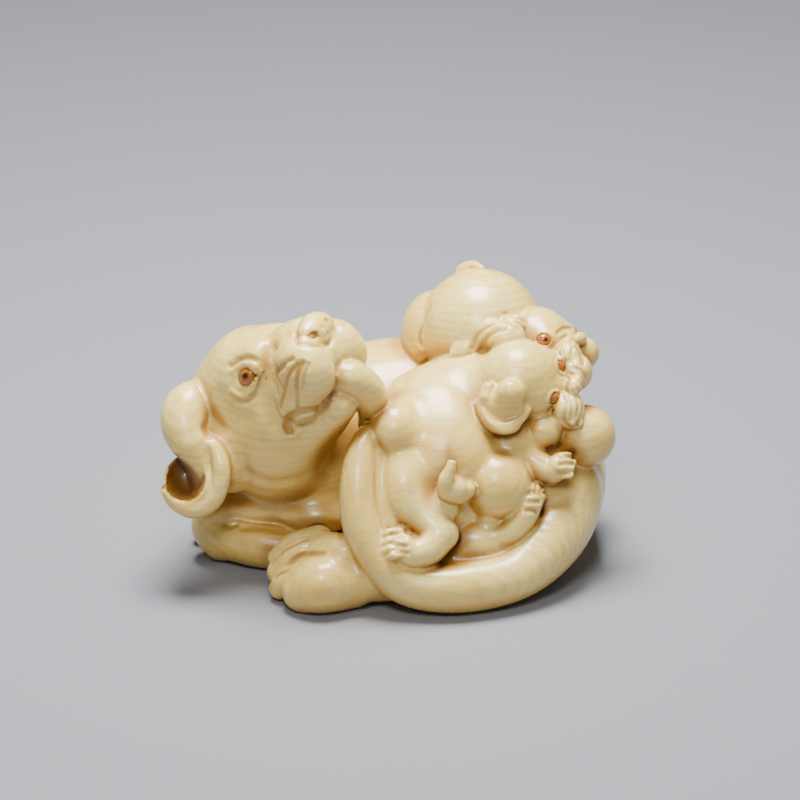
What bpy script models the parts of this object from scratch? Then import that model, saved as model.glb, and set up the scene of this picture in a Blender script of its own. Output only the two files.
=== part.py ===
"""Ivory netsuke: a mother dog licks one of two puppies that wrestle on her haunch.

The group is one solid, carved in four steps: balls and limbs laid down roughly,
a voxel remesh that makes them one skin, every vertex moved onto the exact carved
surface, and a decimation to a light solid. The eyes are inlaid, so each one is a
bead of its own in a socket.

Every place and radius in the figures is in mm on a netsuke CARVED_AT mm long. LENGTH
scales them all, because a carving keeps its proportions at any size.
"""
import bmesh
import bpy
import numpy as np
from mathutils import Matrix, Vector

# The sizes that drive the part, in metres
LENGTH = 0.048
EYE_GAP = 0.0003
CORD_HOLE_WIDTH = 0.0032
KNOT_HOLE_WIDTH = 0.0040
CORD_HOLE_SPACING = 0.0090
CORD_HOLE_DEPTH = 0.0045

CARVED_AT = 48.14
MM = LENGTH / CARVED_AT
MIDDLE = np.array([0.0, 1.26, 0.0])
SKIN_TRIANGLES = 7000
ROUGH_VOXEL = 0.5
FINE_VOXEL = 0.4

# Depth, half width and half length of an eye, in mm
MOTHER_EYE = (0.7, 0.95, 1.2)
PUPPY_EYE = (0.5, 0.62, 0.78)

# Where the right eye sits, as steps ahead, out and up from the middle of the head:
# in mm on the mother, in head radii on the puppies
MOTHER_EYE_SPOT = (4.6, 4.5, 0.3)
FRONT_EYE_SPOT = (0.95, 0.4, 0.13)
BACK_EYE_SPOT = (0.66, 0.72, 0.14)

# Middle of the two cord holes on the underside, in metres
CORD_PLACE = Vector((0.0080, -0.0020, 0.0))

FAR = 60.0
REACH = 2.5


def unit(v):
    v = np.asarray(v, float)
    return v / np.linalg.norm(v)


class Place:
    """A spot on the carving with its own forward, right and up directions."""

    def __init__(self, origin, forward, up, size=1.0):
        forward = unit(forward)
        right = unit(np.cross(forward, up))
        self.origin = np.asarray(origin, float)
        self.size = size
        self.axes = np.array([forward, right, np.cross(right, forward)])

    def at(self, forward, right=0.0, up=0.0):
        return self.origin + self.size * np.array([forward, right, up]) @ self.axes


def flowing(stops, steps=7):
    """Points and radii along a smooth curve through the stops."""
    stops = np.asarray(stops, float)
    ends = np.vstack([2 * stops[0] - stops[1], stops, 2 * stops[-1] - stops[-2]])
    run = []
    for a, b, c, d in zip(ends, ends[1:], ends[2:], ends[3:]):
        for t in np.arange(steps) / steps:
            run.append(0.5 * (2 * b + (c - a) * t + (2 * a - 5 * b + 4 * c - d) * t * t
                              + (3 * b - 3 * c + d - a) * t ** 3))
    run.append(stops[-1])
    return np.array(run)


class Blockout:
    """Lays the same forms down as rough balls, to be remeshed into the first skin."""

    def __init__(self):
        self.early = bmesh.new()
        self.late = bmesh.new()
        self.cutter = bmesh.new()

    def dab(self, centre, radii, axes=None, into=None):
        if into is None:
            into = self.late if self.cutter.verts else self.early
        turn = Matrix(np.eye(3) if axes is None else axes).transposed().to_4x4()
        stretch = Matrix.Diagonal((*np.broadcast_to(np.asarray(radii, float), 3), 1.0))
        bmesh.ops.create_icosphere(into, subdivisions=2, radius=1.0,
                                   matrix=Matrix.Translation(Vector(centre)) @ turn @ stretch)

    def ball(self, centre, radii, axes=None, blend=1.0):
        self.dab(centre, radii, axes)

    def cut(self, centre, radii, axes=None, blend=0.3):
        self.dab(centre, radii, axes, self.cutter)

    def limb(self, stops, blend=1.0, flat=None, thin=1.0):
        axes = None
        for x, y, z, r in flowing(stops, 2):
            radii = np.full(3, r)
            if flat is not None:
                n = unit(flat)
                a = unit(np.cross(n, [0.3, 0.5, 0.8]))
                axes = np.array([a, np.cross(n, a), n])
                radii[2] *= thin
            self.dab((x, y, z), radii, axes)

    def hollow(self, stops, blend=0.3):
        """A shallow channel is left to the fine carving."""

    def figure(self):
        return self

    def join(self, figure, blend=0.3):
        """The rough forms of a figure are already in place."""

    def skin(self):
        """One closed mesh round every form, less the cuts."""
        solid = remeshed(mesh_of(self.early), ROUGH_VOXEL)
        solid = boolean(solid, remeshed(mesh_of(self.cutter), ROUGH_VOXEL), "DIFFERENCE")
        whole = bmesh.new()
        whole.from_mesh(solid)
        whole.from_mesh(mesh_of(self.late))
        return remeshed(mesh_of(whole), ROUGH_VOXEL)


class Clay:
    """Measures how far each point lies outside the clay, in mm, as forms are laid down."""

    def __init__(self, points):
        self.points = points
        self.outside = np.full(len(points), FAR)

    def near(self, low, high, margin):
        inside = (self.points > low - margin) & (self.points < high + margin)
        return np.flatnonzero(inside.all(axis=1))

    def put(self, which, depth, blend):
        now = self.outside[which]
        soft = np.maximum(blend - np.abs(now - depth), 0)
        self.outside[which] = np.minimum(now, depth) - soft * soft / (4 * blend)

    def take(self, which, depth, blend):
        now = self.outside[which]
        soft = np.maximum(blend - np.abs(now + depth), 0)
        self.outside[which] = np.maximum(now, -depth) + soft * soft / (4 * blend)

    @staticmethod
    def shell(offset, radii):
        stretched = np.linalg.norm(offset / radii, axis=1)
        slope = np.linalg.norm(offset / radii ** 2, axis=1)
        return stretched * (stretched - 1) / np.maximum(slope, 1e-6)

    def ball_depth(self, centre, radii, axes, margin):
        centre = np.asarray(centre, float)
        radii = np.broadcast_to(np.asarray(radii, float), 3)
        which = self.near(centre - radii.max(), centre + radii.max(), margin)
        offset = self.points[which] - centre
        if axes is not None:
            offset = offset @ np.asarray(axes).T
        return which, self.shell(offset, radii)

    def limb_depth(self, stops, flat, thin, margin):
        run = flowing(stops)
        widest = run[:, 3].max()
        which = self.near(run[:, :3].min(0) - widest, run[:, :3].max(0) + widest, margin)
        p = self.points[which]
        depth = np.full(len(p), FAR)
        for a, b in zip(run, run[1:]):
            along = b[:3] - a[:3]
            t = np.clip((p - a[:3]) @ along / max(along @ along, 1e-9), 0, 1)
            offset = p - a[:3] - t[:, None] * along
            radius = a[3] + t * (b[3] - a[3])
            if flat is None:
                d = np.linalg.norm(offset, axis=1) - radius
            else:
                n = unit(flat)
                through = offset @ n
                across = offset - through[:, None] * n
                flatish = np.column_stack([np.linalg.norm(across, axis=1), through])
                radii = np.column_stack([radius, radius * thin])
                d = self.shell(flatish, radii)
            depth = np.minimum(depth, d)
        return which, depth

    def ball(self, centre, radii, axes=None, blend=1.0):
        which, depth = self.ball_depth(centre, radii, axes, blend + REACH)
        self.put(which, depth, blend)

    def cut(self, centre, radii, axes=None, blend=0.3):
        which, depth = self.ball_depth(centre, radii, axes, blend + REACH)
        self.take(which, depth, blend)

    def limb(self, stops, blend=1.0, flat=None, thin=1.0):
        which, depth = self.limb_depth(stops, flat, thin, blend + REACH)
        self.put(which, depth, blend)

    def hollow(self, stops, blend=0.3, flat=None, thin=1.0):
        which, depth = self.limb_depth(stops, flat, thin, blend + REACH)
        self.take(which, depth, blend)

    def figure(self):
        return Clay(self.points)

    def join(self, figure, blend=0.3):
        self.put(slice(None), figure.outside, blend)


MOTHER_HEAD = Place((-14.7, -2.6, 19.3), (0.527, -0.326, 0.785), (-0.658, 0.429, 0.619))
FRONT_HEAD = Place((13.7, -3.0, 20.7), (0.96, -0.268, -0.007), (-0.2, -0.62, 0.753), 4.3)
BACK_HEAD = Place((15.7, 2.8, 22.5), (0.84, -0.477, 0.255), (-0.12, 0.302, 0.885), 3.75)


def mother_body(clay):
    clay.ball((2, 7, 10), (15, 9.3, 10.3))
    clay.ball((-8, 2.5, 7.5), (8, 7, 7.5), blend=3)
    clay.limb([(-14.5, -1.0, 16, 6.0), (-11.0, -0.5, 12, 6.4), (-5, 4, 10.5, 8)], blend=2.5)
    clay.ball((12.5, 1.5, 9.3), (10.4, 10.6, 9.6), blend=2.5)
    clay.ball((9, -3, 2.6), (9.8, 10.2, 4.4), blend=2)
    clay.ball((-13, -2.4, 5.8), (5.5, 3.0, 2.4), blend=1.5)
    clay.ball((14.9, -6.9, 6.5), (5.0, 3.6, 3.8), blend=2)
    clay.ball((9.5, -11, 5.5), (4.5, 3.0, 3.0), blend=2)
    clay.ball((18.2, -5.4, 8.5), (4.4, 3.2, 3.6), blend=2.5)
    clay.limb([(-1.6, -9.5, 14.8, 1.6), (-1.1, -10.9, 12.5, 1.8), (-0.6, -12.3, 10.2, 1.8),
               (0.1, -13.4, 7.8, 1.8)],
              blend=1.0)
    clay.ball((-7.6, -4.8, 5.7), (3.6, 2.6, 2.2), blend=1.5)


def mother_forelegs(clay):
    """The right foreleg lies folded under her chin; the left one shows from behind."""
    clay.limb([(-18.1, -3, 5.3, 2.3), (-18.9, -3.2, 3.5, 2.2), (-17.9, -3.8, 2, 2)], blend=0.8)
    clay.limb([(-17.5, -3, 3.5, 2), (-14.9, -3.2, 4.2, 1.8), (-10.4, -3.2, 3.5, 1.7)], blend=0.5)
    clay.limb([(-17.4, -3.6, 2.9, 2.7), (-13.5, -5.4, 2.5, 2.5), (-8.0, -6.6, 2.2, 2.2)], blend=0.4)
    paw(clay, Place((-5.6, -7.2, 2.2), (1, -0.25, 0), (0, 0, 1), 2.2))
    clay.limb([(-12, 7, 6, 3.4), (-16.5, 6.5, 3.4, 2.5), (-18.2, 3.0, 2.2, 2.0)], blend=0.6)
    paw(clay, Place((-18.6, 1.6, 2.0), (-0.25, -1, 0), (0, 0, 1), 2.0))


def paw(clay, p):
    """A dog's paw with four toes, as large as its place says."""
    s = p.size
    clay.ball(p.at(0, 0, 0), np.array([1.0, 0.95, 0.8]) * s, p.axes, blend=0.4 * s)
    for side in (-1.5, -0.5, 0.5, 1.5):
        out = 0.42 * side
        back = 0.06 * side * side
        clay.limb([(*p.at(0.3, out, 0.25), 0.36 * s), (*p.at(0.95 - back, 1.1 * out, 0.1), 0.4 * s),
                   (*p.at(1.3 - 1.6 * back, 1.1 * out, -0.35), 0.3 * s)], blend=0.08 * s)


def mother_hind_leg(clay):
    """The right hind leg runs under the tail to a big paw with four round toes."""
    clay.limb([(12, -10, 3.0, 3.0), (5, -12.8, 2.8, 2.7), (-1, -13.6, 3.2, 3.0)], blend=1.0)
    clay.ball((-6, -12.4, 3.5), (3.4, 3.6, 3.5), blend=1.0)
    clay.limb([(-7.4, -9.8, 5.2, 1.6), (-9.9, -10.4, 4.6, 1.6), (-11.6, -10.4, 3.3, 1.2)], blend=0.12)
    clay.limb([(-7.5, -11.4, 4.6, 1.8), (-9.3, -12, 4.2, 1.85), (-11.5, -12, 2.5, 1.35)], blend=0.12)
    clay.limb([(-8.3, -13.4, 3.3, 1.6), (-10.4, -13.6, 2.3, 1.6), (-11.4, -13.4, 1.3, 1.2)], blend=0.12)
    clay.limb([(-4.2, -14.2, 2.6, 3), (-6.9, -15.5, 2.9, 3.1), (-8.9, -15.4, 2, 2.3)], blend=0.15)
    clay.ball((-2.8, -14.6, 3.3), 2.6, blend=0.8)
    clay.ball((-4.6, -13.8, 5.6), 2.2, blend=0.8)


def mother_tail(clay):
    """Thick at the root on her haunch, it sweeps round the front and up behind the puppy."""
    clay.limb([(18.4, 4, 9.4, 4.6), (19.0, -2.5, 7.9, 4.1), (17.3, -8.6, 5.5, 3.8),
               (13.5, -13.6, 3.2, 2.8),
               (7.5, -16.0, 2.7, 2.65), (2.0, -16.2, 3.4, 2.4), (-1.3, -15.3, 6.2, 2.25),
               (-3.0, -13.6, 10.2, 2.1), (-3.1, -11.3, 14.2, 1.8), (-2.4, -9.0, 16.6, 1.3),
               (-1, -7.4, 17.4, 0.8)], blend=0.4)


def mother_head(clay):
    """A hound's head, turned up and back: long skull, deep lips, heavy throat."""
    h = MOTHER_HEAD
    clay.ball(h.at(0.2, 0, 0.2), (6.9, 5.8, 5.7), h.axes, blend=2.0)
    clay.ball(h.at(3.0, 0, 2.6), (2.8, 4.2, 2.8), h.axes, blend=1.5)
    clay.ball(h.at(5.4, 0, 1.7), (2.3, 3.9, 2.2), h.axes, blend=1.2)
    for side in (-1, 1):
        clay.ball(h.at(1.4, 2.4 * side, -3.4), (4.4, 3.2, 3.6), h.axes, blend=2.0)
        clay.ball(h.at(5.2, 2.7 * side, -1.9), (2.7, 2.0, 3.0), h.axes, blend=1.2)
        clay.ball(h.at(6.4, 2.3 * side, 0.4), 2.1, blend=1.5)
    clay.ball(h.at(-2.0, 0, -5.4), (6.0, 6.0, 6.2), h.axes, blend=1.5)
    clay.ball(h.at(2.6, 0, -5.2), (3.6, 4.2, 3.8), h.axes, blend=2.0)
    clay.limb([(*h.at(1.0, 0, -7.0), 3.6), (*h.at(5.0, 0, -7.6), 2.8),
               (*h.at(8.2, 0, -8.3), 1.75)], blend=1.2)
    muzzle = clay.figure()
    muzzle.limb([(*h.at(5.6, 0, -0.5), 3.0), (*h.at(8.5, 0, -0.9), 3.1), (*h.at(10.3, 0, -1.3), 2.8)])
    for side in (-1, 1):
        lip = clay.figure()
        lip.ball(h.at(10.0, 3.0 * side, -3.5), (3.3, 2.7, 3.6), h.axes)
        lip.ball(h.at(7.0, 3.3 * side, -5.0), (2.8, 2.0, 2.5), h.axes, blend=1.0)
        muzzle.join(lip, 0.8)
    muzzle.ball(h.at(10.3, 0, -3.0), (2.6, 2.2, 2.8), h.axes, blend=0.6)
    clay.join(muzzle, 0.4)
    clay.ball(h.at(12.1, -0.2, -0.8), (1.6, 2.7, 1.7), h.axes, blend=0.12)


def mother_ear(clay):
    """The right ear hangs as a round fold and its tip turns outwards like a cup."""
    clay.limb([(-19.3, -3, 18.8, 2), (-21.1, -5.4, 18.5, 2.6), (-21.5, -7.2, 17.2, 2.4),
               (-20.9, -8.4, 15.7, 1.9), (-20.2, -8.8, 14.2, 1.6)], blend=0.5)
    cup = clay.figure()
    cup.ball((-20.6, -9, 11.4), (3.2, 3.1, 3.4))
    cup.limb([(-19.4, -8.6, 16.5, 0.8), (-18.2, -9.2, 15.6, 0.9), (-17.6, -10.2, 14.2, 1),
              (-17.7, -11, 12.3, 1), (-18.6, -11.4, 10.5, 1), (-20.5, -11.4, 9.6, 1),
              (-22.4, -11, 10.2, 0.8), (-23.5, -10.6, 11.7, 0.6)], blend=0.5)
    clay.join(cup, 0.5)
    clay.cut((-21.5, -11.2, 13.3), (2.3, 3.5, 2.6), blend=0.4)
    clay.cut((-18.9, -8.8, 17.5), (0.7, 1.2, 0.9), blend=0.4)
    clay.limb([(-20.9, -8.6, 15.8, 1.8), (-19.9, -9, 13.8, 1.6), (-19.3, -9.4, 11.8, 1.5),
               (-19.4, -10, 10.7, 1.2)],
              blend=0.6)
    clay.limb([(-18.2, -6, 16.9, 1.5), (-17.4, -7, 14.9, 1.6), (-17, -7.2, 12.7, 1.5),
               (-17.5, -6.4, 10.4, 1.1)], blend=0.6)
    clay.limb([(-16.6, -7.6, 15.7, 1.3), (-16.4, -8, 14.1, 1.5), (-16.4, -8.2, 12.5, 1.5),
               (-16.2, -6.6, 10.3, 0.9)], blend=1.0)


def mother_far_side(clay):
    """What the puppies and her head hide: the left ear on the shoulder, the left haunch and foot."""
    clay.limb([(-13.8, 2.3, 19.6, 1.6), (-13.6, 4.4, 16.4, 2.5), (-13.8, 5.4, 12.6, 2.7),
               (-13.9, 6.2, 9.6, 1.7)],
              blend=0.3, flat=(-0.25, 0.9, 0.35), thin=0.45)
    haunch = clay.figure()
    haunch.ball((10.5, 8.2, 7.6), (7.6, 5.6, 7.2))
    haunch.limb([(8, 12.0, 2.6, 2.4), (3, 13.0, 2.1, 2.1), (-0.5, 13.0, 2.0, 2.0)], blend=1.0)
    clay.join(haunch, 0.5)
    paw(clay, Place((-1.8, 12.9, 1.9), (-1, 0.1, 0), (0, 0, 1), 2.1))


def mother_tongue(clay):
    clay.limb([(-5.5, -8.4, 23.4, 1.6), (-3.8, -8.3, 23.3, 1.9), (-2.4, -7.8, 21.8, 1.95),
               (-1.8, -7.1, 20, 1.75), (-2.1, -6.6, 18.3, 1.1), (-2.7, -6.3, 17, 0.55)], blend=0.12)
    clay.ball((-6.3, -9.1, 21.6), 1.5, blend=0.4)


def puppy_head(clay, h, lips):
    """Both puppies have this head: round skull, brows, short wide muzzle, split lip, button nose."""
    ahead, out, up = lips
    s = h.size
    clay.ball(h.at(0, 0, 0), s, blend=0.3 * s)
    for side in (-1, 1):
        clay.ball(h.at(0.58, 0.42 * side, 0.06), 0.43 * s, blend=0.2 * s)
        clay.ball(h.at(0.35, 0.45 * side, -0.45), 0.52 * s, blend=0.3 * s)
    clay.ball(h.at(0.88, 0, -0.22), np.array([0.5, 0.46, 0.38]) * s, h.axes, blend=0.25 * s)
    clay.ball(h.at(0.9, 0, -0.78), np.array([0.48, 0.4, 0.24]) * s, h.axes, blend=0.08 * s)
    for side in (-1, 1):
        lip = clay.figure()
        lip.ball(h.at(ahead, out * side, up), np.array([0.42, 0.47, 0.46]) * s, h.axes)
        clay.join(lip, 0.05 * s)
    clay.ball(h.at(1.42, 0, 0.03), np.array([0.2, 0.29, 0.2]) * s, h.axes, blend=0.04 * s)


def front_puppy(clay):
    """Seen from behind: rump, haunches, the curl of the tail, a neck turned to the right."""
    clay.ball((6.2, -6.0, 12.6), (6.6, 6.4, 6.6))
    clay.ball((5.2, -2.2, 14.8), (7.2, 7.0, 6.6), blend=2.5)
    clay.ball((9.8, 1.0, 16.6), (6.0, 5.5, 5.8), blend=2.5)
    # left haunch, shank and foot
    clay.ball((0.6, -7.8, 17), (2.7, 3.0, 3.1), blend=1.6)
    clay.ball((1.9, -10.0, 11.0), (3.2, 3.6, 4.4), blend=1.4)
    clay.limb([(1.1, -9.6, 12.2, 3.2), (1.8, -11.2, 10.5, 3), (3.8, -12.6, 9.2, 2.5),
               (5.5, -14.3, 8.2, 1.8)], blend=1.4)
    clay.limb([(5.5, -14.4, 8.1, 1.75), (4.2, -15.7, 7, 1.65), (2.5, -16.1, 6.7, 1.6),
               (1.4, -16.1, 7.5, 1.5)], blend=0.4)
    puppy_toes(clay, Place((1.5, -16.1, 8), (-0.93, -0.36, 0.0), (-0.3, -0.7, 0.65), 1.75))
    # right haunch, hock and foot
    clay.ball((11.4, -9.2, 11.3), (3.9, 3.8, 3.9), blend=0.5)
    clay.limb([(10.7, -9.8, 8.7, 2.2), (10.6, -11.6, 6.7, 1.6), (12.5, -12, 7, 1.5),
               (14, -11.6, 8.5, 1.45), (14.9, -10.9, 10.2, 1.35)], blend=0.25)
    puppy_toes(clay, Place((15, -10.9, 10.3), (0.3, 0.35, 0.88), (0.5, -0.85, 0.2), 1.4))
    clay.limb([(9, 0, 17.5, 4.8), (12, -2, 19.2, 4.0)], blend=1.5)
    clay.ball((7.4, -8.8, 8.2), (3.0, 3.0, 3.0), blend=0.8)
    clay.limb([(5.3, -9.8, 10.8, 2.2), (6.3, -10.2, 9.1, 2.2), (7.8, -9.9, 7.6, 2)], blend=0.8)
    clay.ball((5.7, -12.2, 10.4), 1.7, blend=0.8)
    # right foreleg, its paw against the ball
    clay.limb([(13.2, -5, 13.8, 2.4), (15.3, -7.6, 13.2, 1.8), (16.9, -8.6, 12.8, 1.45),
               (17.9, -8.8, 13.3, 1.4)], blend=0.4)
    puppy_toes(clay, Place((17.8, -8.9, 13.4), (0.9, -0.1, 0.15), (-0.2, -0.75, 0.6), 1.45))
    clay.ball((13.2, -6.2, 15.1), 2.6, blend=1.2)
    # cheek, and the roll of skin at the corner of the mouth
    clay.ball((16.2, -6, 16.2), (2.1, 2.0, 2.0), blend=0.4)
    clay.ball((19.5, -6.6, 17.4), (0.95, 0.8, 0.65), blend=0.15)
    # tail curl
    clay.ball((6.8, -12.9, 12.6), (1.6, 1.4, 1.45), blend=0.2)
    clay.limb([(8.3, -12.4, 12.4, 0.9), (7.2, -13, 11.9, 0.9), (6.1, -13.4, 12.6, 0.9),
               (6, -13.5, 13.9, 0.85), (6.4, -13.3, 15, 0.62), (6.6, -13, 15.9, 0.46),
               (6.4, -12.7, 16.7, 0.34), (6.2, -12.2, 17.4, 0.24)], blend=0.12)
    clay.cut((7.5, -14.2, 14.4), (0.5, 0.7, 0.5), blend=0.15)


def puppy_toes(clay, p):
    s = p.size
    for side in (-1.5, -0.5, 0.5, 1.5):
        out = 0.48 * side
        clay.limb([(*p.at(0.0, out, 0.1), 0.27 * s), (*p.at(0.7, out, 0.1), 0.29 * s),
                   (*p.at(1.15 - 0.08 * side * side, out, -0.2), 0.25 * s)], blend=0.03 * s)


def front_puppy_ears(clay):
    """The right ear folds down with a hollow under its edge; the left one lies back over the crown."""
    clay.limb([(10.5, -6.6, 21.3, 0.8), (10.2, -7.2, 20.6, 0.8)], blend=0.3)
    flap = clay.figure()
    flap.ball((12.8, -7.6, 21.2), (1.6, 1.3, 1.6))
    flap.ball((11.9, -7.2, 19.3), (2.7, 1.4, 2.1), blend=0.6)
    flap.limb([(9.6, -6.8, 19.8, 0.6), (10, -7.8, 19, 0.7), (11, -8.6, 18.1, 0.8),
               (12.5, -8.8, 17.9, 0.75), (13.8, -8.2, 18.6, 0.55),
               (14.7, -7.4, 19.3, 0.35)], blend=0.3)
    clay.join(flap, 0.3)
    clay.limb([(12.8, -1.6, 25, 1.7), (10.6, 0.2, 24.5, 1.6), (9, 0.6, 23.4, 1.4),
               (8.3, 0.4, 22.6, 1.2)],
              blend=0.3, flat=(0.2, -0.8, 0.6), thin=0.6)
    clay.limb([(9.1, 0.2, 23.6, 1.2), (7.8, -0.2, 22.9, 1.1), (6.8, -0.4, 22.3, 0.5)], blend=0.12,
              flat=(-0.3, -0.8, 0.5), thin=0.6)


def back_puppy(clay):
    """Mostly a round rump seen from the side, with one haunch on the left."""
    clay.ball((9.8, 6.0, 22.4), (6.6, 6.6, 6.6))
    clay.ball((13.0, 5.0, 20.5), (5.0, 5.0, 4.6), blend=1.5)
    thigh = clay.figure()
    thigh.ball((5, 7.6, 21.1), (3.7, 5.0, 4.8))
    clay.join(thigh, 0.15)
    clay.limb([(8.4, 9, 27.7, 1.3), (9.1, 8.5, 28.7, 0.7), (9.9, 7.5, 28.9, 0.4)], blend=0.2)
    clay.limb([(9.5, 11.4, 19.6, 2.6), (7.0, 13.2, 18.3, 1.6), (4.6, 13.6, 17.8, 1.3)], blend=0.4)
    puppy_toes(clay, Place((4.6, 13.6, 17.8), (-1, 0.1, -0.1), (0, 0.4, 0.9), 1.3))
    clay.limb([(14.5, 8.5, 18.6, 2.4), (16.8, 8.6, 17.0, 1.6), (18.4, 7.6, 16.4, 1.2)], blend=0.4)
    puppy_toes(clay, Place((18.4, 7.6, 16.4), (0.8, -0.5, -0.2), (0.3, 0.3, 0.9), 1.2))


def back_puppy_ear(clay):
    clay.limb([(14.3, 1.2, 25.1, 0.8), (13.1, 0.6, 25.4, 1.2), (12, 0.4, 24.6, 1.2),
               (11.7, 0.2, 23.6, 0.8)],
              blend=0.2, flat=(-0.2, -0.85, 0.5), thin=0.6)


def toy_ball(clay):
    clay.ball((20.7, -4, 14.6), 3.35, blend=0.1)


def lay_down(clay):
    """Every form of the group, laid into clay."""
    mother = clay.figure()
    mother_body(mother)
    mother_head(mother)
    mother_forelegs(mother)
    mother_ear(mother)
    mother_hind_leg(mother)
    mother_tail(mother)
    mother_tongue(mother)
    mother_far_side(mother)
    front = clay.figure()
    front_puppy(front)
    front_face = clay.figure()
    puppy_head(front_face, FRONT_HEAD, (1.3, 0.5, -0.28))
    front.join(front_face, 0.6)
    front_puppy_ears(front)
    back = clay.figure()
    back_puppy(back)
    back_face = clay.figure()
    puppy_head(back_face, BACK_HEAD, (1.25, 0.46, -0.44))
    back.join(back_face, 0.35)
    back_puppy_ear(back)
    ball = clay.figure()
    toy_ball(ball)
    clay.join(mother, 0.1)
    clay.join(front, 0.25)
    clay.join(back, 0.25)
    clay.join(ball, 0.25)


def outside(points):
    """How far each point lies outside the carved group, in mm."""
    clay = Clay(points)
    lay_down(clay)
    return clay.outside


def slope(points, here, step=0.05):
    ways = np.eye(3) * step
    return np.column_stack([outside(points + way) - here for way in ways]) / step


def mesh_of(bm):
    mesh = bpy.data.meshes.new("clay")
    bm.to_mesh(mesh)
    bm.free()
    return mesh


def evaluated(mesh, kind, other=None, **settings):
    """A copy of the mesh as one modifier leaves it."""
    scene = bpy.context.scene
    piece = bpy.data.objects.new("piece", mesh)
    scene.collection.objects.link(piece)
    modifier = piece.modifiers.new("Step", kind)
    if other is not None:
        tool = bpy.data.objects.new("tool", other)
        scene.collection.objects.link(tool)
        modifier.object = tool
    for name, value in settings.items():
        setattr(modifier, name, value)
    graph = bpy.context.evaluated_depsgraph_get()
    result = bpy.data.meshes.new_from_object(piece.evaluated_get(graph))
    bpy.data.objects.remove(piece)
    if other is not None:
        bpy.data.objects.remove(tool)
    return result


def remeshed(mesh, voxel):
    return evaluated(mesh, "REMESH", mode="VOXEL", voxel_size=voxel, adaptivity=0.0)


def boolean(mesh, other, operation):
    return evaluated(mesh, "BOOLEAN", other, operation=operation, solver="EXACT")


def places_of(mesh):
    flat = np.empty(len(mesh.vertices) * 3)
    mesh.vertices.foreach_get("co", flat)
    return flat.reshape(-1, 3)


def fit(mesh, rounds, stride=0.6):
    """Moves every vertex onto the carved surface, along the steepest way there."""
    points = places_of(mesh)
    for _ in range(rounds):
        here = outside(points)
        steep = slope(points, here)
        move = -steep * (here / np.maximum((steep * steep).sum(1), 0.09))[:, None]
        far = np.linalg.norm(move, axis=1)
        points = points + move * np.minimum(1, stride / np.maximum(far, 1e-9))[:, None]
    mesh.vertices.foreach_set("co", points.ravel())
    mesh.update()


def relax(mesh, rounds):
    """Evens out the spacing of the vertices."""
    bm = bmesh.new()
    bm.from_mesh(mesh)
    for _ in range(rounds):
        bmesh.ops.smooth_vert(bm, verts=bm.verts, factor=0.5,
                              use_axis_x=True, use_axis_y=True, use_axis_z=True)
    bm.to_mesh(mesh)
    bm.free()


def carved_skin():
    rough = Blockout()
    lay_down(rough)
    mesh = rough.skin()
    fit(mesh, 3)
    relax(mesh, 2)
    fit(mesh, 2)
    mesh = remeshed(mesh, FINE_VOXEL)
    relax(mesh, 2)
    fit(mesh, 3)
    return mesh


def flattened(mesh):
    """Cuts the group off flat at the floor and closes the cut."""
    bm = bmesh.new()
    bm.from_mesh(mesh)
    everything = bm.verts[:] + bm.edges[:] + bm.faces[:]
    bmesh.ops.bisect_plane(bm, geom=everything, dist=0.01, plane_co=(0, 0, 0), plane_no=(0, 0, 1),
                           clear_inner=True)
    for vert in bm.verts:
        if vert.co.z < 0.02:
            vert.co.z = 0.0
    rim = [edge for edge in bm.edges if edge.is_boundary]
    bmesh.ops.holes_fill(bm, edges=rim, sides=0)
    bmesh.ops.dissolve_degenerate(bm, dist=0.01, edges=bm.edges[:])
    bmesh.ops.triangulate(bm, faces=bm.faces[:])
    return mesh_of(bm)


def to_metres(points):
    return (np.asarray(points, float) + MIDDLE) * MM


def eye_place(head, ahead, out, up):
    """Where the line from the middle of the head through this spot comes out of the surface."""
    way = head.at(ahead, out, up) - head.origin
    line = head.origin + np.linspace(0.6, 1.6, 201)[:, None] * way
    depth = outside(line)
    first = int(np.argmax(depth > 0))
    normal = slope(line[first:first + 1], depth[first:first + 1])[0]
    return Place(line[first], normal, head.axes[0])


def eye_mesh(place, radii, extra=0.0):
    """An egg of these half sizes, sunk by a third of its depth, with its length along the face."""
    sizes = np.array(radii) * MM + extra
    centre = to_metres(place.at(-0.35 * radii[0]))
    matrix = (Matrix.Translation(Vector(centre)) @ Matrix(place.axes).transposed().to_4x4()
              @ Matrix.Diagonal((*sizes, 1.0)))
    bm = bmesh.new()
    bmesh.ops.create_uvsphere(bm, u_segments=12, v_segments=8, radius=1.0, matrix=matrix)
    bmesh.ops.recalc_face_normals(bm, faces=bm.faces)
    bmesh.ops.triangulate(bm, faces=bm.faces[:])
    return mesh_of(bm)


def cord_tunnel():
    """A bent tunnel up into the body from one hole and down out of the other."""
    bm = bmesh.new()
    ring = bmesh.ops.create_circle(bm, cap_ends=True, segments=16, radius=CORD_HOLE_WIDTH / 2,
                                   matrix=Matrix.Translation((CORD_HOLE_SPACING / 2, 0, 0)))
    rise = CORD_HOLE_DEPTH / (CORD_HOLE_SPACING / 2)
    bmesh.ops.spin(bm, geom=bm.faces[:], cent=(0, 0, 0), axis=(0, -1, 0), angle=np.pi, steps=14)
    bmesh.ops.scale(bm, vec=(1, 1, rise), verts=bm.verts)
    bmesh.ops.recalc_face_normals(bm, faces=bm.faces)
    bmesh.ops.translate(bm, vec=CORD_PLACE + Vector((0, 0, -0.0004)), verts=bm.verts)
    return mesh_of(bm)


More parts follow.
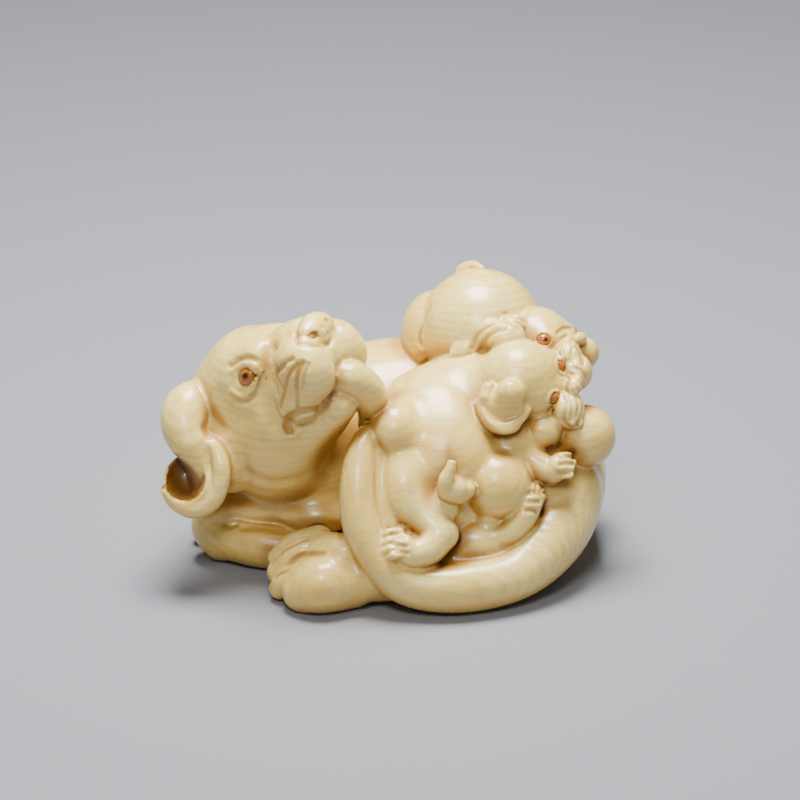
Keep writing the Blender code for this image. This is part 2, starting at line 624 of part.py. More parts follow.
def knot_hole():
    bm = bmesh.new()
    height = CORD_HOLE_DEPTH * 0.7
    bmesh.ops.create_cone(bm, cap_ends=True, segments=20, radius1=KNOT_HOLE_WIDTH / 2,
                          radius2=CORD_HOLE_WIDTH / 2, depth=height)
    offset = Vector((CORD_HOLE_SPACING / 2, 0, height / 2 - 0.0003))
    bmesh.ops.translate(bm, vec=CORD_PLACE + offset, verts=bm.verts)
    return mesh_of(bm)


def material(name, colour, roughness):
    made = bpy.data.materials.new(name)
    made.use_nodes = True
    shader = made.node_tree.nodes["Principled BSDF"]
    shader.inputs["Base Color"].default_value = (*colour, 1.0)
    shader.inputs["Roughness"].default_value = roughness
    shader.inputs["Metallic"].default_value = 0.0
    return made


def add(name, mesh, look=None):
    thing = bpy.data.objects.new(name, mesh)
    bpy.context.scene.collection.objects.link(thing)
    if look is not None:
        mesh.materials.append(look)
    return thing


def cut_from(thing, name, mesh):
    cutter = add(name, mesh)
    cutter.hide_render = True
    cutter.display_type = "WIRE"
    modifier = thing.modifiers.new(name, "BOOLEAN")
    modifier.operation = "DIFFERENCE"
    modifier.solver = "EXACT"
    modifier.object = cutter


def main():
    for thing in list(bpy.data.objects):
        bpy.data.objects.remove(thing)
    ivory = material("ivory", (0.83, 0.68, 0.44), 0.3)
    horn = material("amber_horn", (0.55, 0.2, 0.03), 0.1)

    mesh = carved_skin()
    mesh.calc_loop_triangles()
    share = SKIN_TRIANGLES / len(mesh.loop_triangles)
    mesh = evaluated(mesh, "DECIMATE", ratio=share)
    mesh = flattened(mesh)
    mesh.vertices.foreach_set("co", to_metres(places_of(mesh)).ravel())
    mesh.shade_smooth()
    carving = add("carving", mesh, ivory)

    for owner, head, radii, spot in (("mother", MOTHER_HEAD, MOTHER_EYE, MOTHER_EYE_SPOT),
                                     ("front_puppy", FRONT_HEAD, PUPPY_EYE, FRONT_EYE_SPOT),
                                     ("back_puppy", BACK_HEAD, PUPPY_EYE, BACK_EYE_SPOT)):
        ahead, out, up = spot
        for side, way in (("right", out), ("left", -out)):
            place = eye_place(head, ahead, way, up)
            name = f"{owner}_{side}_eye"
            cut_from(carving, name + "_socket", eye_mesh(place, radii, EYE_GAP))
            eye = eye_mesh(place, radii)
            eye.shade_smooth()
            add(name, eye, horn)
    cut_from(carving, "cord_tunnel", cord_tunnel())
    cut_from(carving, "knot_hole", knot_hole())


main()
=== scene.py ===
# %% [markdown]
# # An ivory netsuke: a mother dog, two puppies and a toy ball
#
# A netsuke is the toggle that held a pouch to a kimono sash. This one is carved
# from one lump of ivory about 48 mm long, so the whole group is one closed
# surface. The script shapes it as a carver does, from large forms to small
# ones, then stains it, paints shade into its hollows and undersides, and
# polishes it.
#
# The part's solid model is loaded first. It is the rough carving, and it fixes
# the size and place of everything that follows.

# %% Load the solid model
import math

import bmesh
import bpy
import numpy as np
from mathutils import Matrix, Vector


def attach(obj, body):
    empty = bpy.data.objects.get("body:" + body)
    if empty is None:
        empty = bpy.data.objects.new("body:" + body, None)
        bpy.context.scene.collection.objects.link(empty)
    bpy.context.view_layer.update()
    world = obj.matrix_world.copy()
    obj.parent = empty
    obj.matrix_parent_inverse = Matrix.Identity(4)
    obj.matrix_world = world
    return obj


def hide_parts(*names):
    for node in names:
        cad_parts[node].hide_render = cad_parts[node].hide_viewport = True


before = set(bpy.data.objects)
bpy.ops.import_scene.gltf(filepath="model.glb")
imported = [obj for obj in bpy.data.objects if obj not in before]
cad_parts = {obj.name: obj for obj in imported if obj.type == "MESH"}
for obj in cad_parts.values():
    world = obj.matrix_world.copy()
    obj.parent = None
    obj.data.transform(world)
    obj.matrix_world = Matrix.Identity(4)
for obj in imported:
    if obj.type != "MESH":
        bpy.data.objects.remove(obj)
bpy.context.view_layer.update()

# %% [markdown]
# ## Camera
#
# A carving this small is photographed with a long lens from a little above, here
# about 25 degrees, so near and far sides keep nearly the same scale. With the
# camera set first, every later step can be judged.

# %% Camera
def placed(name, data):
    """A new object in the scene that carries this data."""
    thing = bpy.data.objects.new(name, data)
    bpy.context.scene.collection.objects.link(thing)
    return thing


CAMERA_HEIGHT_ANGLE = math.radians(25)
CAMERA_DISTANCE = 0.60
PICTURE_WIDTH_AT_OBJECT = 0.0857

camera_data = bpy.data.cameras.new("camera")
camera_data.angle = 2 * math.atan(PICTURE_WIDTH_AT_OBJECT / 2 / CAMERA_DISTANCE)
camera_data.clip_start = 0.01
camera = placed("camera", camera_data)
bpy.context.scene.camera = camera

toward_camera = Vector((0, -math.cos(CAMERA_HEIGHT_ANGLE), math.sin(CAMERA_HEIGHT_ANGLE)))
picture_up = Vector((0, math.sin(CAMERA_HEIGHT_ANGLE), math.cos(CAMERA_HEIGHT_ANGLE)))
aim = Vector((0.0012, 0, 0)) + picture_up * 0.01585
camera.location = aim + toward_camera * CAMERA_DISTANCE
camera.rotation_euler = toward_camera.to_track_quat("Z", "Y").to_euler()
print("field of view:", round(math.degrees(camera_data.angle), 1), "degrees")

# %% [markdown]
# ## Working in millimetres
#
# A carver thinks in millimetres. All shapes below are given in them, with the
# ground at zero height. MM and MIDDLE carry them into the model's own frame.

# %% Units
CARVED_AT = 48.14
MM = 0.048 / CARVED_AT
MIDDLE = np.array([0.0, 1.26, 0.0])


def to_metres(points):
    return (np.asarray(points, float) + MIDDLE) * MM


def to_carving(points):
    return np.asarray(points, float) / MM - MIDDLE


print("one carver's millimetre is", round(MM * 1000, 4), "mm of the model")

# %% [markdown]
# ## Places and curves
#
# Each head and paw is described from its own point of view: so much ahead, to
# its right, and up. A Place turns such steps into positions, as an empty does
# for its children in the editor. The helper flowing draws a smooth curve
# through a few stops, each with its own thickness.

# %% Places and curves
CURVE_STEPS = 7


def unit(v):
    v = np.asarray(v, float)
    return v / np.linalg.norm(v)


class Place:
    """A spot on the carving with its own forward, right and up directions."""

    def __init__(self, origin, forward, up, size=1.0):
        forward = unit(forward)
        right = unit(np.cross(forward, up))
        self.origin = np.asarray(origin, float)
        self.size = size
        self.axes = np.array([forward, right, np.cross(right, forward)])

    def at(self, forward, right=0.0, up=0.0):
        return self.origin + self.size * np.array([forward, right, up]) @ self.axes


def flowing(stops):
    """Points and radii along a smooth curve through the stops."""
    stops = np.asarray(stops, float)
    ends = np.vstack([2 * stops[0] - stops[1], stops, 2 * stops[-1] - stops[-2]])
    run = []
    for a, b, c, d in zip(ends, ends[1:], ends[2:], ends[3:]):
        for t in np.arange(CURVE_STEPS) / CURVE_STEPS:
            run.append(0.5 * (2 * b + (c - a) * t + (2 * a - 5 * b + 4 * c - d) * t * t
                              + (3 * b - 3 * c + d - a) * t ** 3))
    run.append(stops[-1])
    return np.array(run)


print("a curve takes", CURVE_STEPS, "steps from stop to stop")

# %% [markdown]
# ## Clay
#
# Forms this soft are hard to make from boxes and bevels. In the editor one
# would lay down metaballs or sculpt. The class Clay does both by arithmetic: for
# any points it keeps the distance to the nearest form, below zero inside. A ball
# or a limb melts into what is there, by as much as its blend says. A cut or a
# hollow takes clay away, and a groove presses a line. Such a measure has no
# faces, so forms can meet in any way.

# %% Clay
FAR = 60.0
REACH = 2.5


class Clay:
    """Measures how far each point lies outside the clay, in mm, as forms are laid down."""

    def __init__(self, points):
        self.points = points
        self.outside = np.full(len(points), FAR)

    def near(self, low, high, margin):
        inside = (self.points > low - margin) & (self.points < high + margin)
        return np.flatnonzero(inside.all(axis=1))

    def put(self, which, depth, blend):
        now = self.outside[which]
        soft = np.maximum(blend - np.abs(now - depth), 0)
        self.outside[which] = np.minimum(now, depth) - soft * soft / (4 * blend)

    def take(self, which, depth, blend):
        now = self.outside[which]
        soft = np.maximum(blend - np.abs(now + depth), 0)
        self.outside[which] = np.maximum(now, -depth) + soft * soft / (4 * blend)

    @staticmethod
    def shell(offset, radii):
        stretched = np.linalg.norm(offset / radii, axis=1)
        slope = np.linalg.norm(offset / radii ** 2, axis=1)
        return stretched * (stretched - 1) / np.maximum(slope, 1e-6)

    def ball_depth(self, centre, radii, axes, margin):
        centre = np.asarray(centre, float)
        radii = np.broadcast_to(np.asarray(radii, float), 3)
        which = self.near(centre - radii.max(), centre + radii.max(), margin)
        offset = self.points[which] - centre
        if axes is not None:
            offset = offset @ np.asarray(axes).T
        return which, self.shell(offset, radii)

    def limb_depth(self, stops, flat, thin, margin):
        run = flowing(stops)
        widest = run[:, 3].max()
        which = self.near(run[:, :3].min(0) - widest, run[:, :3].max(0) + widest, margin)
        p = self.points[which]
        depth = np.full(len(p), FAR)
        for a, b in zip(run, run[1:]):
            along = b[:3] - a[:3]
            t = np.clip((p - a[:3]) @ along / max(along @ along, 1e-9), 0, 1)
            offset = p - a[:3] - t[:, None] * along
            radius = a[3] + t * (b[3] - a[3])
            if flat is None:
                d = np.linalg.norm(offset, axis=1) - radius
            else:
                n = unit(flat)
                through = offset @ n
                across = offset - through[:, None] * n
                flatish = np.column_stack([np.linalg.norm(across, axis=1), through])
                radii = np.column_stack([radius, radius * thin])
                d = self.shell(flatish, radii)
            depth = np.minimum(depth, d)
        return which, depth

    def ball(self, centre, radii, axes=None, blend=1.0):
        self.put(*self.ball_depth(centre, radii, axes, blend + REACH), blend)

    def cut(self, centre, radii, axes=None, blend=0.3):
        self.take(*self.ball_depth(centre, radii, axes, blend + REACH), blend)

    def limb(self, stops, blend=1.0, flat=None, thin=1.0):
        self.put(*self.limb_depth(stops, flat, thin, blend + REACH), blend)

    def hollow(self, stops, blend):
        self.take(*self.limb_depth(stops, None, 1.0, blend + REACH), blend)

    def groove(self, path, width, depth):
        """A V-shaped line pressed along the path."""
        stops = np.column_stack([np.asarray(path, float), np.zeros(len(path))])
        which, away = self.limb_depth(stops, None, 1.0, 3 * width)
        self.outside[which] += depth * np.exp(-((away / width) ** 2))

    def figure(self):
        return Clay(self.points)

    def join(self, figure, blend=0.3):
        self.put(slice(None), figure.outside, blend)


print("clay measures distances up to", FAR, "mm")

# %% [markdown]
# ## The three heads
#
# A face looks alive only when its two sides match, so each head gets its own
# place, and its features are laid left and right of that place's middle plane.
# The mother looks up over her own back.

# %% The three heads
MOTHER_HEAD = Place((-14.7, -2.6, 19.3), (0.527, -0.326, 0.785), (-0.658, 0.429, 0.619))
FRONT_HEAD = Place((13.7, -3.0, 20.7), (0.96, -0.268, -0.007), (-0.2, -0.62, 0.753), 4.3)
BACK_HEAD = Place((15.7, 2.8, 22.5), (0.84, -0.477, 0.255), (-0.12, 0.302, 0.885), 3.75)

for head in (MOTHER_HEAD, FRONT_HEAD, BACK_HEAD):
    print("a head looks along", head.axes[0].round(2))

# %% [markdown]
# ## The mother's body and legs
#
# She lies curled up. Her body is a row of large balls that melt into one bean.
# Her forelegs fold under her chest, and her right hind leg reaches forward under
# the tail. Limbs are chains of thick and thin stops, which is how one would
# block out a leg with a Skin modifier.

# %% The mother's body and legs
def mother_body(clay):
    clay.ball((2, 7, 10), (15, 9.3, 10.3))
    clay.ball((-8, 2.5, 7.5), (8, 7, 7.5), blend=3)
    clay.limb([(-14.5, -1.0, 16, 6.0), (-11.0, -0.5, 12, 6.4), (-5, 4, 10.5, 8)], blend=2.5)
    clay.ball((12.5, 1.5, 9.3), (10.4, 10.6, 9.6), blend=2.5)
    clay.ball((9, -3, 2.6), (9.8, 10.2, 4.4), blend=2)
    clay.ball((-13, -2.4, 5.8), (5.5, 3.0, 2.4), blend=1.5)
    clay.ball((14.9, -6.9, 6.5), (5.0, 3.6, 3.8), blend=2)
    clay.ball((9.5, -11, 5.5), (4.5, 3.0, 3.0), blend=2)
    clay.ball((18.2, -5.4, 8.5), (4.4, 3.2, 3.6), blend=2.5)
    clay.limb([(-1.6, -9.5, 14.8, 1.6), (-1.1, -10.9, 12.5, 1.8), (-0.6, -12.3, 10.2, 1.8),
               (0.1, -13.4, 7.8, 1.8)], blend=1.0)
    clay.ball((-7.6, -4.8, 5.7), (3.6, 2.6, 2.2), blend=1.5)


def mother_forelegs(clay):
    """The right foreleg lies folded under her chin; the left one shows from behind."""
    clay.limb([(-18.1, -3, 5.3, 2.3), (-18.9, -3.2, 3.5, 2.2), (-17.9, -3.8, 2, 2)], blend=0.8)
    clay.limb([(-17.5, -3, 3.5, 2), (-14.9, -3.2, 4.2, 1.8), (-10.4, -3.2, 3.5, 1.7)], blend=0.5)
    clay.limb([(-17.4, -3.6, 2.9, 2.7), (-13.5, -5.4, 2.5, 2.5), (-8.0, -6.6, 2.2, 2.2)], blend=0.4)
    paw(clay, Place((-5.6, -7.2, 2.2), (1, -0.25, 0), (0, 0, 1), 2.2))
    clay.limb([(-12, 7, 6, 3.4), (-16.5, 6.5, 3.4, 2.5), (-18.2, 3.0, 2.2, 2.0)], blend=0.6)
    paw(clay, Place((-18.6, 1.6, 2.0), (-0.25, -1, 0), (0, 0, 1), 2.0))


def paw(clay, p):
    """A dog's paw with four toes, as large as its place says."""
    s = p.size
    clay.ball(p.at(0, 0, 0), np.array([1.0, 0.95, 0.8]) * s, p.axes, blend=0.4 * s)
    for side in (-1.5, -0.5, 0.5, 1.5):
        out = 0.42 * side
        back = 0.06 * side * side
        clay.limb([(*p.at(0.3, out, 0.25), 0.36 * s), (*p.at(0.95 - back, 1.1 * out, 0.1), 0.4 * s),
                   (*p.at(1.3 - 1.6 * back, 1.1 * out, -0.35), 0.3 * s)], blend=0.08 * s)


def mother_hind_leg(clay):
    """The right hind leg runs under the tail to a big paw with four round toes."""
    clay.limb([(12, -10, 3.0, 3.0), (5, -12.8, 2.8, 2.7), (-1, -13.6, 3.2, 3.0)], blend=1.0)
    clay.ball((-6, -12.4, 3.5), (3.4, 3.6, 3.5), blend=1.0)
    for toe in ([(-7.4, -9.8, 5.2, 1.6), (-9.9, -10.4, 4.6, 1.6), (-11.6, -10.4, 3.3, 1.2)],
                [(-7.5, -11.4, 4.6, 1.8), (-9.3, -12, 4.2, 1.85), (-11.5, -12, 2.5, 1.35)],
                [(-8.3, -13.4, 3.3, 1.6), (-10.4, -13.6, 2.3, 1.6), (-11.4, -13.4, 1.3, 1.2)]):
        clay.limb(toe, blend=0.12)
    clay.limb([(-4.2, -14.2, 2.6, 3), (-6.9, -15.5, 2.9, 3.1), (-8.9, -15.4, 2, 2.3)], blend=0.15)
    clay.ball((-2.8, -14.6, 3.3), 2.6, blend=0.8)
    clay.ball((-4.6, -13.8, 5.6), 2.2, blend=0.8)


print("the mother's body and legs can be laid down")

# %% [markdown]
# ## The mother's tail
#
# The thick tail sweeps round the puppies like a low wall and gives the netsuke
# its smooth outline. It is one limb that thins out to a rounded tip.

# %% The mother's tail
def mother_tail(clay):
    """Thick at the root on her haunch, it sweeps round the front and up behind the puppy."""
    clay.limb([(18.4, 4, 9.4, 4.6), (19.0, -2.5, 7.9, 4.1), (17.3, -8.6, 5.5, 3.8),
               (13.5, -13.6, 3.2, 2.8),
               (7.5, -16.0, 2.7, 2.65), (2.0, -16.2, 3.4, 2.4), (-1.3, -15.3, 6.2, 2.25),
               (-3.0, -13.6, 10.2, 2.1), (-3.1, -11.3, 14.2, 1.8), (-2.4, -9.0, 16.6, 1.3),
               (-1, -7.4, 17.4, 0.8)], blend=0.4)


print("the tail can be laid down")

# %% [markdown]
# ## The mother's head
#
# The skull is a ball, and the muzzle is a blunter one ahead of it with a
# hanging lip on each side. The near ear falls back from the skull into a deep
# cup with a thick rolled edge, so it is laid as a thick lobe and then hollowed.

# %% The mother's head
def mother_head(clay):
    """A hound's head, turned up and back: long skull, deep lips, heavy throat."""
    h = MOTHER_HEAD
    clay.ball(h.at(0.2, 0, 0.2), (6.9, 5.8, 5.7), h.axes, blend=2.0)
    clay.ball(h.at(3.0, 0, 2.6), (2.8, 4.2, 2.8), h.axes, blend=1.5)
    clay.ball(h.at(5.4, 0, 1.7), (2.3, 3.9, 2.2), h.axes, blend=1.2)
    for side in (-1, 1):
        clay.ball(h.at(1.4, 2.4 * side, -3.4), (4.4, 3.2, 3.6), h.axes, blend=2.0)
        clay.ball(h.at(5.2, 2.7 * side, -1.9), (2.7, 2.0, 3.0), h.axes, blend=1.2)
        clay.ball(h.at(6.4, 2.3 * side, 0.4), 2.1, blend=1.5)
    clay.ball(h.at(-2.0, 0, -5.4), (6.0, 6.0, 6.2), h.axes, blend=1.5)
    clay.ball(h.at(2.6, 0, -5.2), (3.6, 4.2, 3.8), h.axes, blend=2.0)
    clay.limb([(*h.at(1.0, 0, -7.0), 3.6), (*h.at(5.0, 0, -7.6), 2.8),
               (*h.at(8.2, 0, -8.3), 1.75)], blend=1.2)
    muzzle = clay.figure()
    muzzle.limb([(*h.at(5.6, 0, -0.5), 3.0), (*h.at(8.5, 0, -0.9), 3.1),
                 (*h.at(10.3, 0, -1.3), 2.8)])
    for side in (-1, 1):
        lip = clay.figure()
        lip.ball(h.at(10.0, 3.0 * side, -3.5), (3.3, 2.7, 3.6), h.axes)
        lip.ball(h.at(7.0, 3.3 * side, -5.0), (2.8, 2.0, 2.5), h.axes, blend=1.0)
        muzzle.join(lip, 0.8)
    muzzle.ball(h.at(10.3, 0, -3.0), (2.6, 2.2, 2.8), h.axes, blend=0.6)
    clay.join(muzzle, 0.4)
    clay.ball(h.at(12.1, -0.2, -0.8), (1.6, 2.7, 1.7), h.axes, blend=0.12)


def mother_ear(clay):
    """The right ear hangs as a round fold and its tip turns outwards like a cup."""
    clay.limb([(-19.3, -3, 18.8, 2), (-21.1, -5.4, 18.5, 2.6), (-21.5, -7.2, 17.2, 2.4),
               (-20.9, -8.4, 15.7, 1.9), (-20.2, -8.8, 14.2, 1.6)], blend=0.5)
    cup = clay.figure()
    cup.ball((-20.6, -9, 11.4), (3.2, 3.1, 3.4))
    cup.limb([(-19.4, -8.6, 16.5, 0.8), (-18.2, -9.2, 15.6, 0.9), (-17.6, -10.2, 14.2, 1),
              (-17.7, -11, 12.3, 1), (-18.6, -11.4, 10.5, 1), (-20.5, -11.4, 9.6, 1),
              (-22.4, -11, 10.2, 0.8), (-23.5, -10.6, 11.7, 0.6)], blend=0.5)
    clay.join(cup, 0.5)
    clay.cut((-21.5, -11.2, 13.3), (2.3, 3.5, 2.6), blend=0.4)
    clay.cut((-18.9, -8.8, 17.5), (0.7, 1.2, 0.9), blend=0.4)
    clay.limb([(-20.9, -8.6, 15.8, 1.8), (-19.9, -9, 13.8, 1.6), (-19.3, -9.4, 11.8, 1.5),
               (-19.4, -10, 10.7, 1.2)], blend=0.6)
    clay.limb([(-18.2, -6, 16.9, 1.5), (-17.4, -7, 14.9, 1.6), (-17, -7.2, 12.7, 1.5),
               (-17.5, -6.4, 10.4, 1.1)], blend=0.6)
    clay.limb([(-16.6, -7.6, 15.7, 1.3), (-16.4, -8, 14.1, 1.5), (-16.4, -8.2, 12.5, 1.5),
               (-16.2, -6.6, 10.3, 0.9)], blend=1.0)


print("the mother's head is ready to be laid down")

# %% [markdown]
# ## The mother's tongue and hidden side
#
# The long tongue bridges from the mouth to the puppy's thigh and leaves a small
# gap beside it. The side that the photograph hides follows the side that shows:
# a second drop ear, a haunch and folded feet.

# %% The mother's tongue and hidden side
def mother_tongue(clay):
    clay.limb([(-5.5, -8.4, 23.4, 1.6), (-3.8, -8.3, 23.3, 1.9), (-2.4, -7.8, 21.8, 1.95),
               (-1.8, -7.1, 20, 1.75), (-2.1, -6.6, 18.3, 1.1), (-2.7, -6.3, 17, 0.55)], blend=0.12)
    clay.ball((-6.3, -9.1, 21.6), 1.5, blend=0.4)


def mother_far_side(clay):
    """What her head and the puppies hide: the left ear, the left haunch and foot."""
    clay.limb([(-13.8, 2.3, 19.6, 1.6), (-13.6, 4.4, 16.4, 2.5), (-13.8, 5.4, 12.6, 2.7),
               (-13.9, 6.2, 9.6, 1.7)],
              blend=0.3, flat=(-0.25, 0.9, 0.35), thin=0.45)
    haunch = clay.figure()
    haunch.ball((10.5, 8.2, 7.6), (7.6, 5.6, 7.2))
    haunch.limb([(8, 12.0, 2.6, 2.4), (3, 13.0, 2.1, 2.1), (-0.5, 13.0, 2.0, 2.0)], blend=1.0)
    clay.join(haunch, 0.5)
    paw(clay, Place((-1.8, 12.9, 1.9), (-1, 0.1, 0), (0, 0, 1), 2.1))


print("the hidden side is ready to be laid down")

# %% [markdown]
# ## The puppies
#
# Both puppies have the same round head, so one function lays it at either
# place. Their bodies differ: the front one is seen from behind with its tail
# curled up, the other leans in over its neck.

# %% The puppies
def puppy_head(clay, h, lips):
    """Both puppies' head: round skull, brows, short wide muzzle, split lip, button nose."""
    ahead, out, up = lips
    s = h.size
    clay.ball(h.at(0, 0, 0), s, blend=0.3 * s)
    for side in (-1, 1):
        clay.ball(h.at(0.58, 0.42 * side, 0.06), 0.43 * s, blend=0.2 * s)
        clay.ball(h.at(0.35, 0.45 * side, -0.45), 0.52 * s, blend=0.3 * s)
    clay.ball(h.at(0.88, 0, -0.22), np.array([0.5, 0.46, 0.38]) * s, h.axes, blend=0.25 * s)
    clay.ball(h.at(0.9, 0, -0.78), np.array([0.48, 0.4, 0.24]) * s, h.axes, blend=0.08 * s)
    for side in (-1, 1):
        lip = clay.figure()
        lip.ball(h.at(ahead, out * side, up), np.array([0.42, 0.47, 0.46]) * s, h.axes)
        clay.join(lip, 0.05 * s)
    clay.ball(h.at(1.42, 0, 0.03), np.array([0.2, 0.29, 0.2]) * s, h.axes, blend=0.04 * s)


def front_puppy_face(clay):
    face = clay.figure()
    puppy_head(face, FRONT_HEAD, (1.3, 0.5, -0.28))
    clay.join(face, 0.6)


def back_puppy_face(clay):
    face = clay.figure()
    puppy_head(face, BACK_HEAD, (1.25, 0.46, -0.44))
    clay.join(face, 0.35)


def front_puppy(clay):
    """Seen from behind: rump, haunches, the curl of the tail, a neck turned to the right."""
    clay.ball((6.2, -6.0, 12.6), (6.6, 6.4, 6.6))
    clay.ball((5.2, -2.2, 14.8), (7.2, 7.0, 6.6), blend=2.5)
    clay.ball((9.8, 1.0, 16.6), (6.0, 5.5, 5.8), blend=2.5)
    # left haunch, shank and foot
    clay.ball((0.6, -7.8, 17), (2.7, 3.0, 3.1), blend=1.6)
    clay.ball((1.9, -10.0, 11.0), (3.2, 3.6, 4.4), blend=1.4)
    clay.limb([(1.1, -9.6, 12.2, 3.2), (1.8, -11.2, 10.5, 3), (3.8, -12.6, 9.2, 2.5),
               (5.5, -14.3, 8.2, 1.8)], blend=1.4)
    clay.limb([(5.5, -14.4, 8.1, 1.75), (4.2, -15.7, 7, 1.65), (2.5, -16.1, 6.7, 1.6),
               (1.4, -16.1, 7.5, 1.5)], blend=0.4)
    puppy_toes(clay, Place((1.5, -16.1, 8), (-0.93, -0.36, 0.0), (-0.3, -0.7, 0.65), 1.75))
    # right haunch, hock and foot
    clay.ball((11.4, -9.2, 11.3), (3.9, 3.8, 3.9), blend=0.5)
    clay.limb([(10.7, -9.8, 8.7, 2.2), (10.6, -11.6, 6.7, 1.6), (12.5, -12, 7, 1.5),
               (14, -11.6, 8.5, 1.45), (14.9, -10.9, 10.2, 1.35)], blend=0.25)
    puppy_toes(clay, Place((15, -10.9, 10.3), (0.3, 0.35, 0.88), (0.5, -0.85, 0.2), 1.4))
    clay.limb([(9, 0, 17.5, 4.8), (12, -2, 19.2, 4.0)], blend=1.5)
    clay.ball((7.4, -8.8, 8.2), 3.0, blend=0.8)
    clay.limb([(5.3, -9.8, 10.8, 2.2), (6.3, -10.2, 9.1, 2.2), (7.8, -9.9, 7.6, 2)], blend=0.8)
    clay.ball((5.7, -12.2, 10.4), 1.7, blend=0.8)
    # right foreleg, its paw against the ball
    clay.limb([(13.2, -5, 13.8, 2.4), (15.3, -7.6, 13.2, 1.8), (16.9, -8.6, 12.8, 1.45),
               (17.9, -8.8, 13.3, 1.4)], blend=0.4)
    puppy_toes(clay, Place((17.8, -8.9, 13.4), (0.9, -0.1, 0.15), (-0.2, -0.75, 0.6), 1.45))
    clay.ball((13.2, -6.2, 15.1), 2.6, blend=1.2)
    # cheek, and the roll of skin at the corner of the mouth
    clay.ball((16.2, -6, 16.2), (2.1, 2.0, 2.0), blend=0.4)
    clay.ball((19.5, -6.6, 17.4), (0.95, 0.8, 0.65), blend=0.15)
    # tail curl
    clay.ball((6.8, -12.9, 12.6), (1.6, 1.4, 1.45), blend=0.2)
    clay.limb([(8.3, -12.4, 12.4, 0.9), (7.2, -13, 11.9, 0.9), (6.1, -13.4, 12.6, 0.9),
               (6, -13.5, 13.9, 0.85), (6.4, -13.3, 15, 0.62), (6.6, -13, 15.9, 0.46),
               (6.4, -12.7, 16.7, 0.34), (6.2, -12.2, 17.4, 0.24)], blend=0.12)
    clay.cut((7.5, -14.2, 14.4), (0.5, 0.7, 0.5), blend=0.15)


def puppy_toes(clay, p):
    s = p.size
    for side in (-1.5, -0.5, 0.5, 1.5):
        out = 0.48 * side
        clay.limb([(*p.at(0.0, out, 0.1), 0.27 * s), (*p.at(0.7, out, 0.1), 0.29 * s),
                   (*p.at(1.15 - 0.08 * side * side, out, -0.2), 0.25 * s)], blend=0.03 * s)


def front_puppy_ears(clay):
    """The right ear folds down over a hollow; the left one lies back over the crown."""
    clay.limb([(10.5, -6.6, 21.3, 0.8), (10.2, -7.2, 20.6, 0.8)], blend=0.3)
    flap = clay.figure()
    flap.ball((12.8, -7.6, 21.2), (1.6, 1.3, 1.6))
    flap.ball((11.9, -7.2, 19.3), (2.7, 1.4, 2.1), blend=0.6)
    flap.limb([(9.6, -6.8, 19.8, 0.6), (10, -7.8, 19, 0.7), (11, -8.6, 18.1, 0.8),
               (12.5, -8.8, 17.9, 0.75), (13.8, -8.2, 18.6, 0.55),
               (14.7, -7.4, 19.3, 0.35)], blend=0.3)
    clay.join(flap, 0.3)
    clay.limb([(12.8, -1.6, 25, 1.7), (10.6, 0.2, 24.5, 1.6), (9, 0.6, 23.4, 1.4),
               (8.3, 0.4, 22.6, 1.2)],
              blend=0.3, flat=(0.2, -0.8, 0.6), thin=0.6)
    clay.limb([(9.1, 0.2, 23.6, 1.2), (7.8, -0.2, 22.9, 1.1), (6.8, -0.4, 22.3, 0.5)], blend=0.12,
              flat=(-0.3, -0.8, 0.5), thin=0.6)


def back_puppy(clay):
    """Mostly a round rump seen from the side, with one haunch on the left."""
    clay.ball((9.8, 6.0, 22.4), 6.6)
    clay.ball((13.0, 5.0, 20.5), (5.0, 5.0, 4.6), blend=1.5)
    thigh = clay.figure()
    thigh.ball((5, 7.6, 21.1), (3.7, 5.0, 4.8))
    clay.join(thigh, 0.15)
    clay.limb([(8.4, 9, 27.7, 1.3), (9.1, 8.5, 28.7, 0.7), (9.9, 7.5, 28.9, 0.4)], blend=0.2)
    clay.limb([(9.5, 11.4, 19.6, 2.6), (7.0, 13.2, 18.3, 1.6), (4.6, 13.6, 17.8, 1.3)], blend=0.4)
    puppy_toes(clay, Place((4.6, 13.6, 17.8), (-1, 0.1, -0.1), (0, 0.4, 0.9), 1.3))
    clay.limb([(14.5, 8.5, 18.6, 2.4), (16.8, 8.6, 17.0, 1.6), (18.4, 7.6, 16.4, 1.2)], blend=0.4)
    puppy_toes(clay, Place((18.4, 7.6, 16.4), (0.8, -0.5, -0.2), (0.3, 0.3, 0.9), 1.2))


def back_puppy_ear(clay):
    clay.limb([(14.3, 1.2, 25.1, 0.8), (13.1, 0.6, 25.4, 1.2), (12, 0.4, 24.6, 1.2),
               (11.7, 0.2, 23.6, 0.8)],
              blend=0.2, flat=(-0.2, -0.85, 0.5), thin=0.6)


def toy_ball(clay):
    clay.ball((20.7, -4, 14.6), 3.35, blend=0.1)


print("the puppies are ready to be laid down")

# %% [markdown]
# ## The whole group
#
# The mother, each puppy and the ball are laid as figures of their own, because
# forms of one animal should melt into each other while two animals should meet
# in a crisp line. That line is what a carver deepens with a graver.

# %% The whole group
SLOPE_STEP = 0.05


def lay_down(clay):
    """Every form of the group, laid into clay."""
    figures = (
        (0.1, (mother_body, mother_head, mother_forelegs, mother_ear, mother_hind_leg,
               mother_tail, mother_tongue, mother_far_side)),
        (0.25, (front_puppy, front_puppy_face, front_puppy_ears)),
        (0.25, (back_puppy, back_puppy_face, back_puppy_ear)),
        (0.25, (toy_ball,)),
    )
    for blend, forms in figures:
        figure = clay.figure()
        for form in forms:
            form(figure)
        clay.join(figure, blend)


def outside(points):
    """How far each point lies outside the carved group, in mm."""
    clay = Clay(points)
    lay_down(clay)
    return clay.outside


def slope(measure, points, here):
    """The way in which a measure grows fastest at each point, and how fast."""
    ways = np.eye(3) * SLOPE_STEP
    return np.column_stack([measure(points + way) - here for way in ways]) / SLOPE_STEP


print("a point deep inside measures", outside(np.array([[2.0, 7.0, 10.0]])).round(1), "mm")

